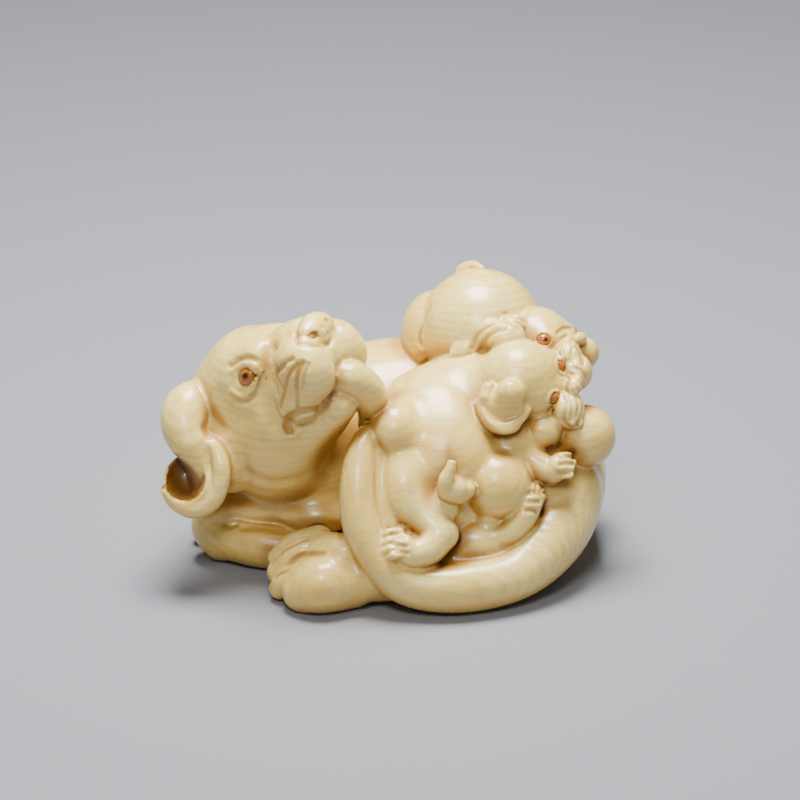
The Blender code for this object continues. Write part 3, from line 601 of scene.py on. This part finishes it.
# %% [markdown]
# ## Finding places on the surface
#
# The last marks have to lie exactly on the carving. Looking along the camera's
# line of sight gives the first point of clay behind any place in the picture.

# %% Finding places on the surface
SIGHT_STEP = 0.15
SIGHT_FROM = 28.0
SIGHT_TO = -16.0


def first_inside(lines):
    """The point at which each line of points first enters the clay."""
    depth = outside(lines.reshape(-1, 3)).reshape(lines.shape[:2])
    found = []
    for line, deep in zip(lines, depth):
        hit = int(np.argmax(deep < 0))
        if hit == 0:
            hit = max(int(np.argmin(deep)), 1)
        part = np.clip(deep[hit - 1] / max(deep[hit - 1] - deep[hit], 1e-6), 0, 1)
        found.append(line[hit - 1] + part * (line[hit] - line[hit - 1]))
    return np.array(found)


def seen(spots):
    """Where lines of sight through places in the picture, in mm across and up, meet the clay."""
    across, up = np.array(spots, float).T
    toward = np.arange(SIGHT_FROM, SIGHT_TO, -SIGHT_STEP)
    low = math.sin(CAMERA_HEIGHT_ANGLE)
    flat = math.cos(CAMERA_HEIGHT_ANGLE)
    lines = np.empty((len(across), len(toward), 3))
    lines[..., 0] = across[:, None]
    lines[..., 1] = up[:, None] * low - toward * flat
    lines[..., 2] = up[:, None] * flat + toward * low
    return first_inside(lines)


print("the mother's nose is at", seen([(-7.2, 22.7)])[0].round(1))

# %% [markdown]
# ## Lines cut into the surface
#
# A carver ends with V-shaped gravers: mouths, folds of skin, the gaps between
# toes. Every line here is a path with a width and a depth. A depth below zero
# raises a soft ridge instead, as beside a fold.

# %% Lines cut into the surface
LINES = []


def cut_lines(*lines):
    """Finds each line of places in the picture on the clay, and keeps it."""
    found = iter(seen([spot for path, _, _ in lines for spot in path]))
    for path, width, depth in lines:
        LINES.append(([next(found) for _ in path], width, depth))
    print(len(lines), "lines cut")


# %% [markdown]
# ## The mother's face
#
# Her mouth line runs from the tongue back to a curled corner, a line goes round
# the nose, and a soft step parts the skull from the muzzle. Short folds fan out
# on the lip where whiskers grow. These marks make the face read as a hound's.

# %% The mother's face
MOUTH_LINE = [(-5.8, 16.1), (-6.3, 15.3), (-6.9, 14.7), (-7.9, 14.3), (-9, 14.1), (-9.6, 13.9),
              (-10.3, 13.5), (-10.6, 12.9), (-10.4, 12.2)]
LIP_ROLL = [(-11, 13.8), (-11.3, 13.1), (-11, 12.2), (-10.4, 11.7), (-9.6, 11.9), (-9.3, 12.5)]
NOSE_EDGE = [(-9.1, 23.8), (-9.5, 22.9), (-9.6, 22.1), (-9.4, 21.3), (-8.5, 21.2), (-7.4, 21.1),
             (-6.3, 21.2), (-5.9, 21.9)]
cut_lines(
    (MOUTH_LINE, 0.42, 0.6),
    (LIP_ROLL, 0.4, -0.25),
    (NOSE_EDGE, 0.28, 0.4),
    ([(-7, 23), (-6.4, 22.2)], 0.2, 0.15),
    ([(-8.7, 22.2), (-7.7, 22.1), (-6.8, 22.2)], 0.8, -0.3),
    ([(-12.5, 20.5), (-12.5, 19.1), (-12.8, 17.5), (-12.8, 16), (-12.4, 14.3),
          (-11.8, 12.8)], 0.9, 0.5),
)

# %% Whisker folds
FOLD = 0.28
cut_lines(
    ([(-10, 19.6), (-10.8, 19.2), (-11.6, 18.5), (-12.2, 17.7)], FOLD, 0.35),
    ([(-9.5, 19), (-10.3, 18.1), (-10.7, 17.1), (-11, 16), (-11.4, 14.6)], FOLD, 0.45),
    ([(-8.9, 19.2), (-9.4, 18.1), (-9.6, 16.8), (-9.5, 14.5)], FOLD, 0.45),
    ([(-8.3, 19), (-8.7, 17.9), (-8.9, 16.6)], FOLD, 0.2),
    ([(-12.4, 18.2), (-12.1, 17.1), (-11.7, 16)], FOLD, 0.3),
    ([(-11.8, 18.8), (-11.6, 17.7), (-11.1, 16.5)], FOLD, 0.3),
    ([(-12.5, 16.9), (-11.9, 17.6), (-10.9, 18.8)], FOLD, 0.25),
    ([(-7, 13.4), (-6.5, 12.9)], FOLD, 0.16),
    ([(-6.3, 13.6), (-5.8, 13.1)], FOLD, 0.16),
)

# %% The mother's eyelids
cut_lines(
    ([(-16.6, 19), (-15.6, 19.6), (-14.7, 19.8), (-13.7, 19.5), (-12.8, 18.6)], 0.3, 0.28),
    ([(-16.4, 18.4), (-15.6, 19.1), (-14.8, 19.3), (-13.9, 19), (-13.3, 18.4)], 0.26, -0.2),
    ([(-16.4, 16.3), (-15.6, 15.8), (-14.9, 15.9), (-14.1, 16.4), (-13.6, 17.3),
          (-13.2, 18.3)], 0.26, -0.2),
    ([(-16.3, 15.5), (-15.3, 15.2), (-14.4, 15.5), (-13.6, 16.4), (-13.1, 17.7)], 0.35, 0.22),
    ([(-17.5, 15.8), (-16.4, 14), (-14.9, 13.5)], 0.9, 0.3),
)

# %% [markdown]
# ## Folds of skin on the mother
#
# Where a leg folds, the skin wrinkles. Small lines at the eye, elbow and wrist
# break up the large smooth forms.

# %% Folds on the mother
cut_lines(
    ([(-17.5, 2.1), (-16.9, 1.9), (-16.2, 2.1)], 0.3, 0.25),
    ([(-17.3, 1.6), (-16.6, 1.6)], 0.25, 0.15),
    ([(-15.6, 1.7), (-13.6, 1.7), (-11.1, 1.4)], 0.5, 0.25),
    ([(-14.9, 7.6), (-13.6, 7), (-12.2, 6.6), (-10.4, 6.8), (-8.9, 7.2)], 0.8, 0.25),
    ([(-12.3, -1.8), (-11.4, -0.8), (-9.9, 0.2), (-8.4, 0.8)], 0.3, 0.3),
    ([(-12, -3.2), (-10.7, -2.5), (-9.9, -1.5), (-8.7, -0.9), (-6.9, -0.8)], 0.3, 0.3),
)

# %% [markdown]
# ## Nostrils
#
# Short hollows pressed into the nose, each a small ball taken away: two side by
# side for the near nostril, one for the far one.

# %% Nostrils
NOSTRILS = list(zip(seen([(-7.9, 22), (-7.7, 22.2), (-6.4, 23.7)]), (0.34, 0.28, 0.26)))
print(len(NOSTRILS), "hollows in the nose")

# %% [markdown]
# ## The front puppy's face and paws
#
# The same kinds of line at two thirds of the size: a mouth that curls up under
# the cheek, three whisker folds, and lines between the toes.

# %% The front puppy's face and paws
cut_lines(
    ([(20.2, 13.3), (19.5, 12.4), (18.8, 12.6), (18.4, 13.2)], 0.3, 0.35),
    ([(18.3, 15.8), (18.6, 14.7), (18.5, 13.3)], 0.19, 0.2),
    ([(18.9, 16), (19.3, 14.8), (19.2, 13.3)], 0.19, 0.2),
    ([(19.3, 16.3), (19.9, 15.2), (19.8, 13.7)], 0.19, 0.2),
    ([(19.9, 16.5), (20.5, 15.4), (20.4, 14.4)], 0.19, 0.16),
    ([(19.4, 18.8), (20.3, 18.4), (20.9, 17.6)], 0.22, 0.2),
    ([(19.2, 18.1), (19.9, 17.7), (20.4, 16.8)], 0.22, 0.2),
)

# %% The front puppy's toes and ears
TOE_LINE = 0.26
cut_lines(
    ([(0.3, 1.3), (0.9, 1.2), (1.7, 1)], TOE_LINE, 0.3),
    ([(0.4, 0.3), (1, 0.2), (1.9, 0.1)], TOE_LINE, 0.3),
    ([(0.8, -0.5), (1.3, -0.5), (2, -0.6)], TOE_LINE, 0.25),
    ([(18.1, 9.4), (18.8, 9.5), (19.4, 9.4)], TOE_LINE, 0.35),
    ([(18, 8.6), (18.6, 8.7), (19.4, 8.7)], TOE_LINE, 0.35),
    ([(17.8, 7.7), (18.4, 7.7), (19.1, 7.7)], TOE_LINE, 0.35),
    ([(14.7, 5.6), (15.2, 5.7), (15.9, 5.7)], TOE_LINE, 0.35),
    ([(14.7, 4.7), (15.2, 4.7), (15.9, 4.7)], TOE_LINE, 0.35),
    ([(14.5, 3.8), (15.1, 3.8), (15.6, 3.6)], TOE_LINE, 0.35),
    ([(8.9, 20.9), (9.2, 22), (10, 22.9), (11, 23.5)], 0.35, 0.3),
    ([(9.8, 20.6), (10.2, 21.7), (11, 22.5), (12.2, 22.9)], 0.35, 0.25),
    ([(9.4, 15.1), (10.1, 13.8), (11.6, 12.1), (13.1, 12.1), (14.6, 13.2)], 0.3, -0.15),
)

# %% [markdown]
# ## The back puppy's face
#
# Only its head shows over its sibling's neck, so its marks are few: the split
# lip under the nose and wrinkles over the bridge.

# %% The back puppy's face
cut_lines(
    ([(20, 20.9), (20.4, 20.2), (20.5, 19.2)], 0.3, 0.35),
    ([(17.9, 22.4), (18.6, 22.9), (19.5, 23)], 0.22, 0.2),
    ([(18.3, 21.8), (19, 22.2), (19.7, 22.4)], 0.22, 0.2),
    ([(18.2, 20.9), (17.9, 20.3), (17.8, 19.6)], 0.19, 0.17),
    ([(18.8, 21), (18.5, 20.2), (18.5, 19.4)], 0.19, 0.17),
    ([(19.4, 20.9), (19.3, 20), (19.3, 19.3)], 0.19, 0.17),
    ([(12, 23.8), (12.8, 23.5), (13.7, 23)], 0.3, 0.2),
    ([(12.4, 24.4), (13.4, 24.2), (14.4, 23.7)], 0.3, 0.2),
    ([(4.3, 25.3), (3.5, 23.2), (3.4, 21.2), (3.8, 18.9)], 0.3, 0.25),
)

# %% [markdown]
# ## Eyes: where they sit
#
# Good netsuke have inlaid eyes: a bead of dark horn pressed into a drilled
# socket. The solid model has six of them. The same steps as there find each
# bead's place, so the finer beads sit in the same sockets.

# %% Eyes: where they sit
MOTHER_EYE = (0.7, 0.95, 1.2)
PUPPY_EYE = (0.5, 0.62, 0.78)
MOTHER_EYE_SPOT = (4.6, 4.5, 0.3)
FRONT_EYE_SPOT = (0.95, 0.4, 0.13)
BACK_EYE_SPOT = (0.66, 0.72, 0.14)
EYES = {}


def eye_place(head, ahead, out, up):
    """Where the line from the middle of the head through this spot comes out of the surface."""
    way = head.at(ahead, out, up) - head.origin
    line = head.origin + np.linspace(0.6, 1.6, 201)[:, None] * way
    depth = outside(line)
    first = int(np.argmax(depth > 0))
    normal = slope(outside, line[first:first + 1], depth[first:first + 1])[0]
    return Place(line[first], normal, head.axes[0])


for owner, head, radii, spot in (("mother", MOTHER_HEAD, MOTHER_EYE, MOTHER_EYE_SPOT),
                                 ("front_puppy", FRONT_HEAD, PUPPY_EYE, FRONT_EYE_SPOT),
                                 ("back_puppy", BACK_HEAD, PUPPY_EYE, BACK_EYE_SPOT)):
    ahead, out, up = spot
    for side, way in (("right", out), ("left", -out)):
        EYES[f"{owner}_{side}_eye"] = (eye_place(head, ahead, way, up), radii)
print(len(EYES), "eyes placed")

# %% [markdown]
# ## Eyelids
#
# A socket alone looks like a hole. A thin raised rim round the bead and a
# shallow fold outside it give it lids.

# %% Eyelids
LID_WIDTH = 0.3
LID_HEIGHT = 0.22
LID_OUT = 0.22
FOLD_OUT = 0.85
FOLD_DEPTH = 0.1


def rim_path(place, radii, grow):
    """A closed loop round an eye, grown by this much in mm."""
    turns = np.linspace(0, 2 * math.pi, 17)
    return np.array([place.at(0, (radii[1] + grow) * math.cos(t), (radii[2] + grow) * math.sin(t))
                     for t in turns])


for place, radii in EYES.values():
    size = radii[2] / MOTHER_EYE[2]
    LINES.append((rim_path(place, radii, LID_OUT * size), LID_WIDTH * size, -LID_HEIGHT * size))
    LINES.append((rim_path(place, radii, FOLD_OUT * size), LID_WIDTH * size, FOLD_DEPTH * size))
print(len(LINES), "lines in all")

# %% [markdown]
# ## Holes for the cord
#
# Every netsuke has a himotoshi: two holes in its underside joined by a bent
# tunnel, for the pouch cord. One hole is larger, to swallow the knot.

# %% Holes for the cord
CORD_HOLE_WIDTH = 3.2
KNOT_HOLE_WIDTH = 4.0
CORD_HOLE_SPACING = 9.0
CORD_HOLE_DEPTH = 4.5
CORD_MIDDLE = to_carving((0.008, -0.002, 0.0))


def drill_cord_holes(clay):
    half = CORD_HOLE_SPACING / 2
    bend = []
    for turn in np.linspace(0, math.pi, 9):
        rise = (half * math.cos(turn), 0, CORD_HOLE_DEPTH * math.sin(turn) - 0.4)
        bend.append((*(CORD_MIDDLE + rise), CORD_HOLE_WIDTH / 2))
    clay.hollow(bend, blend=0.2)
    mouth = CORD_MIDDLE + (half, 0, 0)
    clay.hollow([(*(mouth + (0, 0, -0.4)), KNOT_HOLE_WIDTH / 2),
                 (*(mouth + (0, 0, CORD_HOLE_DEPTH * 0.6)), CORD_HOLE_WIDTH / 2)], blend=0.3)


print("cord holes", CORD_HOLE_SPACING, "mm apart")

# %% [markdown]
# ## The finished measure
#
# The marks follow the forms in the order a carver works: lines, sockets, holes,
# and last the flat base, with its edge eased by rubbing.

# %% The finished measure
SOCKET_GAP = -0.06
EYE_SUNK = 0.35
BASE_EASE = 0.25


def carved(points):
    """How far each point lies outside the finished carving, in mm."""
    clay = Clay(points)
    lay_down(clay)
    for path, width, depth in LINES:
        clay.groove(path, width, depth)
    for place, wide in NOSTRILS:
        clay.cut(place, wide, blend=0.15)
    for place, radii in EYES.values():
        centre = place.at(-EYE_SUNK * radii[0])
        clay.cut(centre, np.array(radii) + SOCKET_GAP, place.axes, blend=0.1)
    drill_cord_holes(clay)
    clay.take(slice(None), clay.points[:, 2], BASE_EASE)
    return clay.outside


print("a point in mid air measures", carved(np.array([[0.0, 0.0, 40.0]])).round(1), "mm")

# %% [markdown]
# ## Skin
#
# A fine skin is drawn over that measure. It starts as a copy of the solid
# model's carving, so it has every hollow already. A voxel remesh makes its
# faces small and even, and each vertex then moves onto the carved surface, as
# the Shrinkwrap modifier does.

# %% Skin helpers
SKIN_VOXEL = 0.21
SKIN_TRIANGLES = 150000
STRIDE = 0.5


def vectors_of(mesh, kind="co"):
    """The place of each vertex, or its normal."""
    flat = np.empty(len(mesh.vertices) * 3)
    mesh.vertices.foreach_get(kind, flat)
    return flat.reshape(-1, 3)


def mesh_from(bm, name):
    mesh = bpy.data.meshes.new(name)
    bm.to_mesh(mesh)
    bm.free()
    return mesh


def evaluated(mesh, kind, **settings):
    """A copy of the mesh as one modifier leaves it."""
    piece = placed("piece", mesh)
    modifier = piece.modifiers.new("Step", kind)
    for name, value in settings.items():
        setattr(modifier, name, value)
    graph = bpy.context.evaluated_depsgraph_get()
    result = bpy.data.meshes.new_from_object(piece.evaluated_get(graph))
    bpy.data.objects.remove(piece)
    return result


def fit(mesh, rounds, which=slice(None)):
    """Moves these vertices onto the carved surface, along the steepest way there."""
    everywhere = vectors_of(mesh)
    points = everywhere[which]
    for _ in range(rounds):
        here = carved(points)
        steep = slope(carved, points, here)
        move = -steep * (here / np.maximum((steep * steep).sum(1), 0.09))[:, None]
        far = np.linalg.norm(move, axis=1)
        points = points + move * np.minimum(1, STRIDE / np.maximum(far, 1e-9))[:, None]
    everywhere[which] = points
    mesh.vertices.foreach_set("co", everywhere.ravel())
    mesh.update()


def relax(mesh):
    """Evens out the spacing of the vertices."""
    bm = bmesh.new()
    bm.from_mesh(mesh)
    bmesh.ops.smooth_vert(bm, verts=bm.verts, factor=0.5,
                          use_axis_x=True, use_axis_y=True, use_axis_z=True)
    bm.to_mesh(mesh)
    bm.free()


print("skin of about", SKIN_TRIANGLES, "triangles")

# %% [markdown]
# ## Drawing the skin
#
# The solid's mesh is loose triangles, so its doubles are merged before the
# remesh. Smoothing between two rounds of fitting keeps the faces even. Decimate
# then spends the triangles where the surface bends most.

# %% Drawing the skin
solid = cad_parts["carving"]
bm = bmesh.new()
bm.from_mesh(solid.data)
bm.transform(solid.matrix_world)
bmesh.ops.remove_doubles(bm, verts=bm.verts, dist=0.00001)
rough = mesh_from(bm, "rough_carving")
rough.vertices.foreach_set("co", to_carving(vectors_of(rough)).ravel())

skin = evaluated(rough, "REMESH", mode="VOXEL", voxel_size=SKIN_VOXEL, adaptivity=0.0)
fit(skin, 2)
relax(skin)
fit(skin, 2)
print("skin:", len(skin.vertices), "vertices")

# %% Thinning the skin
skin.calc_loop_triangles()
print("drawn with", len(skin.loop_triangles), "triangles")
skin = evaluated(skin, "DECIMATE", ratio=min(1.0, SKIN_TRIANGLES / len(skin.loop_triangles)))

# %% [markdown]
# ## Finer faces at the marks
#
# Thin lines and the rims of the eyes need smaller faces than a smooth flank. So
# every edge near a mark is split in two, and the new vertices are fitted once
# more.

# %% Finer faces at the marks
LINE_REACH = 0.55
EYE_REACH = 1.7
WIDEST_STAINED = 0.6


def near_marks(points):
    """True where a narrow line or an eye is close."""
    clay = Clay(points)
    for path, width, depth in LINES:
        if width < WIDEST_STAINED:
            clay.limb(np.column_stack([np.array(path), np.full(len(path), LINE_REACH)]), blend=0.01)
    for place, _ in EYES.values():
        clay.ball(place.origin, EYE_REACH, blend=0.01)
    return clay.outside < 0


def refine(mesh, near):
    """Splits each edge that has both ends near a mark."""
    bm = bmesh.new()
    bm.from_mesh(mesh)
    edges = [edge for edge in bm.edges if all(near[vert.index] for vert in edge.verts)]
    bmesh.ops.subdivide_edges(bm, edges=edges, cuts=1)
    bmesh.ops.triangulate(bm, faces=[face for face in bm.faces if len(face.verts) > 3])
    bm.to_mesh(mesh)
    bm.free()


refine(skin, near_marks(vectors_of(skin)))
fit(skin, 3, np.flatnonzero(near_marks(vectors_of(skin))))
points = vectors_of(skin)
points[:, 2] = np.maximum(points[:, 2], 0)
skin.vertices.foreach_set("co", points.ravel())
skin.update()
skin.calc_loop_triangles()
print("finished with", len(skin.loop_triangles), "triangles")

# %% [markdown]
# ## Where stain and painted shade gather
#
# Carvers rub stain into ivory and wipe it off again, so it stays in creases and
# hollows; here the same masks also paint the shade that falls there. To find
# them, a step is taken outwards from each vertex: in the open, the measure grows
# by the whole step, and in a crease by much less. The cut lines, the ear's cup
# and the undersides are known already; the ear's cup and the undersides get
# painted shade only.

# %% Where stain and painted shade gather
def openness(points, normals, step):
    """How far a step outwards from the surface leads away from it, from 0 shut in to 1 open."""
    return np.clip(carved(points + normals * step) / step, 0, 1)


def keep(mesh, name, values):
    """Stores one number for each vertex, for the material to read."""
    mesh.attributes.new(name, "FLOAT", "POINT").data.foreach_set("value", values.astype(np.float32))
    print(name, "from", round(float(values.min()), 2), "to", round(float(values.max()), 2))


def pressed(points):
    """How deep the narrow lines and the nostrils are at each point, in mm."""
    clay = Clay(points)
    clay.outside[:] = 0
    for path, width, depth in LINES:
        if 0 < depth and width < WIDEST_STAINED:
            clay.groove(path, width, depth)
    for place, wide in NOSTRILS:
        clay.groove([place, place + 0.01], wide, 2 * wide)
    return clay.outside


def in_ear_cup(points):
    """1 on the wall of the ear's cup, fading to 0 outside it."""
    clay = Clay(points)
    clay.ball(EAR_CUP, (2.3, 3.5, 2.6), blend=0.1)
    return np.clip(1 - clay.outside / 0.5, 0, 1)


EAR_CUP = (-21.5, -11.2, 13.3)
normals = vectors_of(skin, "normal")
hollow = 1 - openness(points, normals, 3.0)
# The wall of the ear's cup, marked for painted shade.
ear_cup = in_ear_cup(points) * np.clip((hollow - 0.15) / 0.35, 0, 1)
# Stain in the narrow cut lines, and painted shade inside them: how deep each line is pressed.
keep(skin, "line_stain_and_shade", np.clip(pressed(points) / 0.22, 0, 1))
# Partly stain, partly painted shade: how shut in each vertex is within 1 mm.
keep(skin, "crease_stain_and_shade", 1 - openness(points, normals, 1.0))
# Partly stain, partly painted shade: how shut in each vertex is within 3 mm, with the ear's cup.
keep(skin, "hollow_stain_and_shade", np.maximum(hollow, ear_cup))
# Painted shade: the inside of the ear's cup, which lies in shadow.
keep(skin, "ear_cup_shade", ear_cup)
# Painted shade: how far each vertex faces down, for darker undersides.
keep(skin, "underside_shade", 0.5 - 0.5 * normals[:, 2])

# %% Carving piece
skin.vertices.foreach_set("co", to_metres(points).ravel())
skin.shade_smooth()
skin.name = "ivory_carving"
carving = placed("ivory_carving", skin)
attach(carving, "root")
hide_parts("carving")
print("carving placed")

# %% [markdown]
# ## A look made of nodes
#
# A material is a chain of small nodes. The class Look adds the kinds needed here
# and feeds their sockets with numbers or from other nodes.

# %% A look made of nodes
class Look:
    def __init__(self, name):
        self.material = bpy.data.materials.new(name)
        self.material.use_nodes = True
        self.shader = self.material.node_tree.nodes["Principled BSDF"]

    def feed(self, node, feeds):
        """Sets each socket to a number or a colour, or joins it to another node's socket."""
        for socket, value in feeds.items():
            if isinstance(value, bpy.types.NodeSocket):
                self.material.node_tree.links.new(value, node.inputs[socket])
            else:
                node.inputs[socket].default_value = value

    def add(self, kind, feeds, out, **settings):
        """A new node's output of this name."""
        node = self.material.node_tree.nodes.new("ShaderNode" + kind)
        for name, value in settings.items():
            setattr(node, name, value)
        self.feed(node, feeds)
        return node.outputs[out]

    def stored(self, name):
        return self.add("Attribute", {}, "Fac", attribute_name=name)

    def noise(self, where, scale, detail=2.0, roughness=0.5):
        return self.add("TexNoise", {"Vector": where, "Scale": scale, "Detail": detail,
                                     "Roughness": roughness}, "Fac")

    def math(self, operation, *values):
        return self.add("Math", dict(enumerate(values)), 0, operation=operation)

    def spread(self, value, low, high, to_low, to_high, **settings):
        """Carries low..high over to to_low..to_high and holds it there."""
        return self.add("MapRange", {"Value": value, "From Min": low, "From Max": high,
                                     "To Min": to_low, "To Max": to_high}, "Result", **settings)

    def steps(self, value, low, high, name, most=1.0):
        """The same to 0..most, with a soft start and end."""
        return self.spread(value, low, high, 0.0, most, interpolation_type="SMOOTHSTEP", label=name)

    def tint(self, amount, below, above):
        """Mixes two colours by amount."""
        return self.add("Mix", {0: amount, 6: below, 7: above}, 2, data_type="RGBA")


print("a look starts from one shader")

# %% [markdown]
# ## Polished ivory
#
# Old ivory is cream where hands have polished it and honey brown where stain
# has stayed. Here the honey and dark brown in creases, hollows and cut lines are
# partly that stain and partly painted shade, and the darker undersides and the
# inside of the ear's cup are painted shade. Light enters it a little, so shadows
# are warm and soft: that is the shader's subsurface part. Under the polish runs a
# fine grain along the tusk, with faint arcs across it.

# %% Ivory colours
CREAM = (0.88, 0.63, 0.155, 1)
PALE = (0.96, 0.80, 0.27, 1)
# Toasted tone: the grain's own colour, and also painted shade on the undersides.
TOASTED_GRAIN_AND_SHADE = (0.70, 0.395, 0.085, 1)
# Honey brown: stain in creases, hollows and lines, and painted shade there too.
HONEY_STAIN_AND_SHADE = (0.50, 0.255, 0.04, 1)
# Painted shade: dark brown for the deepest recesses and the ear's cup.
SHADE_BROWN = (0.15, 0.055, 0.008, 1)

ivory = Look("stained_and_shaded_ivory")
where = ivory.add("TexCoord", {}, "Object")
creases = ivory.stored("crease_stain_and_shade")
hollows = ivory.stored("hollow_stain_and_shade")
print("ivory colours from", CREAM[:3], "to", SHADE_BROWN[:3])

# %% Ivory grain
GRAIN_LINES_PER_METRE = 2600
along = ivory.add("Mapping", {"Vector": where, "Rotation": (0.25, 0.35, 0.15),
                              "Scale": (0.12, 1.0, 1.0)}, "Vector")
grain = ivory.noise(along, GRAIN_LINES_PER_METRE, 3.0, 0.6)
cloud = ivory.noise(where, 90.0, 4.0, 0.55)
speck = ivory.noise(where, 1500.0, 5.0, 0.7)
arcs = ivory.add("TexWave", {"Vector": along, "Scale": 420.0, "Distortion": 2.5, "Detail": 2.0},
                 "Fac", wave_type="RINGS", rings_direction="X")
print("grain of", GRAIN_LINES_PER_METRE, "lines a metre")

# %% Ivory stain and painted shade
crease = ivory.math("ADD", creases, ivory.math("MULTIPLY_ADD", speck, 0.35, -0.17))
height = ivory.add("SeparateXYZ", {"Vector": where}, "Z")
base = ivory.tint(ivory.steps(cloud, 0.35, 0.7, "clouds"), CREAM, PALE)
layers = (
    (ivory.steps(arcs, 0.45, 0.8, "arcs", 0.25), TOASTED_GRAIN_AND_SHADE),
    (ivory.steps(grain, 0.48, 0.68, "grain", 0.4), TOASTED_GRAIN_AND_SHADE),
    # Darker towards the bottom, fading out from 2 mm to 18 mm above the table.
    (ivory.spread(height, 0.002, 0.018, 0.15, 0.0, label="low down"), TOASTED_GRAIN_AND_SHADE),
    # Painted shade: the undersides take the toasted tone.
    (ivory.steps(ivory.stored("underside_shade"), 0.35, 0.9, "undersides", 0.75), TOASTED_GRAIN_AND_SHADE),
    # Partly stain left in hollows, partly painted shade where they lie in shadow.
    (ivory.steps(hollows, 0.15, 0.85, "hollows"), HONEY_STAIN_AND_SHADE),
    # Partly stain left in creases, partly painted shade in them.
    (ivory.steps(crease, 0.5, 1.0, "creases"), HONEY_STAIN_AND_SHADE),
    # Painted shade: the deepest recesses, where hollows and creases meet, go dark brown.
    (ivory.steps(ivory.math("MULTIPLY", hollows, creases), 0.55, 1.0, "deepest"), SHADE_BROWN),
    # Painted shade: the inside of the ear's cup goes dark brown.
    (ivory.steps(ivory.stored("ear_cup_shade"), 0.5, 1.0, "ear cup", 0.85), SHADE_BROWN),
    # Stain in the narrow cut lines, also standing in for the shade inside them.
    (ivory.steps(ivory.stored("line_stain_and_shade"), 0.35, 1.0, "fine lines", 0.85), HONEY_STAIN_AND_SHADE),
)
for amount, colour in layers:
    base = ivory.tint(amount, base, colour)
print(len(layers), "layers of stain joined")

# %% Ivory polish
dull = ivory.spread(crease, 0.2, 0.9, 0.3, 0.55)
wear = ivory.spread(speck, 0.4, 0.7, -0.03, 0.06)
relief = ivory.math("MULTIPLY_ADD", grain, 0.6, speck)
ivory.feed(ivory.shader, {
    "Base Color": base,
    "Subsurface Weight": 0.3,
    "Subsurface Radius": (0.8, 0.6, 0.3),
    "Subsurface Scale": 0.0005,
    "IOR": 1.54,
    "Coat Weight": 0.3,
    "Coat Roughness": 0.12,
    "Roughness": ivory.math("ADD", dull, wear),
    "Normal": ivory.add("Bump", {"Height": relief, "Strength": 0.25, "Distance": 0.0001}, "Normal"),
})
carving.data.materials.clear()
carving.data.materials.append(ivory.material)
print("ivory polished")

# %% [markdown]
# ## Amber horn
#
# The beads are horn, warm as amber, with the pupil as a dark spot. The spot
# follows an attribute that each bead stores: how far a vertex is from where the
# animal looks, from 0 there to 1 at the opposite side.

# %% Amber horn
AMBER = (0.44, 0.14, 0.012, 1)
DARK_AMBER = (0.22, 0.055, 0.005, 1)
PUPIL = (0.03, 0.01, 0.003, 1)

horn = Look("amber_eyes")
gaze = horn.stored("gaze")
flecks = horn.noise(horn.add("TexCoord", {}, "Object"), 1600.0)
iris = horn.tint(horn.steps(flecks, 0.4, 0.7, "flecks", 0.3), AMBER, DARK_AMBER)
iris = horn.tint(horn.steps(gaze, 0.2, 0.5, "rim"), iris, DARK_AMBER)
iris = horn.tint(horn.steps(gaze, 0.0, 0.07, "pupil"), PUPIL, iris)
horn.feed(horn.shader, {"Base Color": iris, "Roughness": 0.1, "IOR": 1.56,
                        "Coat Weight": 0.25, "Coat Roughness": 0.04})
print("horn ready")

# %% [markdown]
# ## Eye beads
#
# A bead is a sphere scaled into an egg, two thirds of it sunk in the head. It is
# made fine enough to keep a round highlight.

# %% Eye beads
GAZE = Vector((1.0, 0.0, 0.3)).normalized()


def eye_bead(name, place, radii):
    sizes = np.array(radii) * MM
    centre = to_metres(place.at(-EYE_SUNK * radii[0]))
    matrix = (Matrix.Translation(Vector(centre)) @ Matrix(place.axes).transposed().to_4x4()
              @ Matrix.Diagonal((*sizes, 1.0)))
    bm = bmesh.new()
    bmesh.ops.create_uvsphere(bm, u_segments=40, v_segments=28, radius=1.0)
    front = [(1 - vert.co.dot(GAZE)) / 2 for vert in bm.verts]
    bm.transform(matrix)
    bmesh.ops.recalc_face_normals(bm, faces=bm.faces)
    mesh = mesh_from(bm, name)
    keep(mesh, "gaze", np.array(front))
    mesh.shade_smooth()
    mesh.materials.append(horn.material)
    bead = placed(name, mesh)
    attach(bead, "root")
    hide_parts(name.removeprefix("inlaid_"))
    return bead


for name, (place, radii) in EYES.items():
    eye_bead("inlaid_" + name, place, radii)

# %% [markdown]
# ## Table and light
#
# The netsuke stands on a plain pale table. A large soft light hangs above, so
# the shadow lies close under the carving, and a weaker one from the front puts
# small highlights on each round form.

# %% Table
TABLE_COLOUR = (0.235, 0.243, 0.264, 1)
bm = bmesh.new()
bmesh.ops.create_grid(bm, x_segments=1, y_segments=1, size=2.0)
mesh = mesh_from(bm, "table")
table = placed("table", mesh)
paper = Look("pale_table")
paper.feed(paper.shader, {"Base Color": TABLE_COLOUR, "Roughness": 0.75})
mesh.materials.append(paper.material)
print("table laid")

# %% Light
def soft_light(name, place, size, watts, colour=(1, 1, 1)):
    data = bpy.data.lights.new(name, "AREA")
    data.shape = "SQUARE"
    data.size = size
    data.energy = watts
    data.color = colour
    lamp = placed(name, data)
    lamp.location = place
    lamp.rotation_euler = (Vector(place) - LIT).to_track_quat("Z", "Y").to_euler()


LIT = Vector((0, 0, 0.012))
soft_light("overhead_light", (-0.005, 0.035, 0.22), 0.10, 1.55)
soft_light("front_light", (-0.04, -0.26, 0.30), 0.09, 0.72, (1.0, 0.98, 0.95))

sky = bpy.data.worlds.new("studio")
sky.use_nodes = True
sky.node_tree.nodes["Background"].inputs["Color"].default_value = (0.62, 0.66, 0.72, 1)
sky.node_tree.nodes["Background"].inputs["Strength"].default_value = 0.3
bpy.context.scene.world = sky
print("lights set")
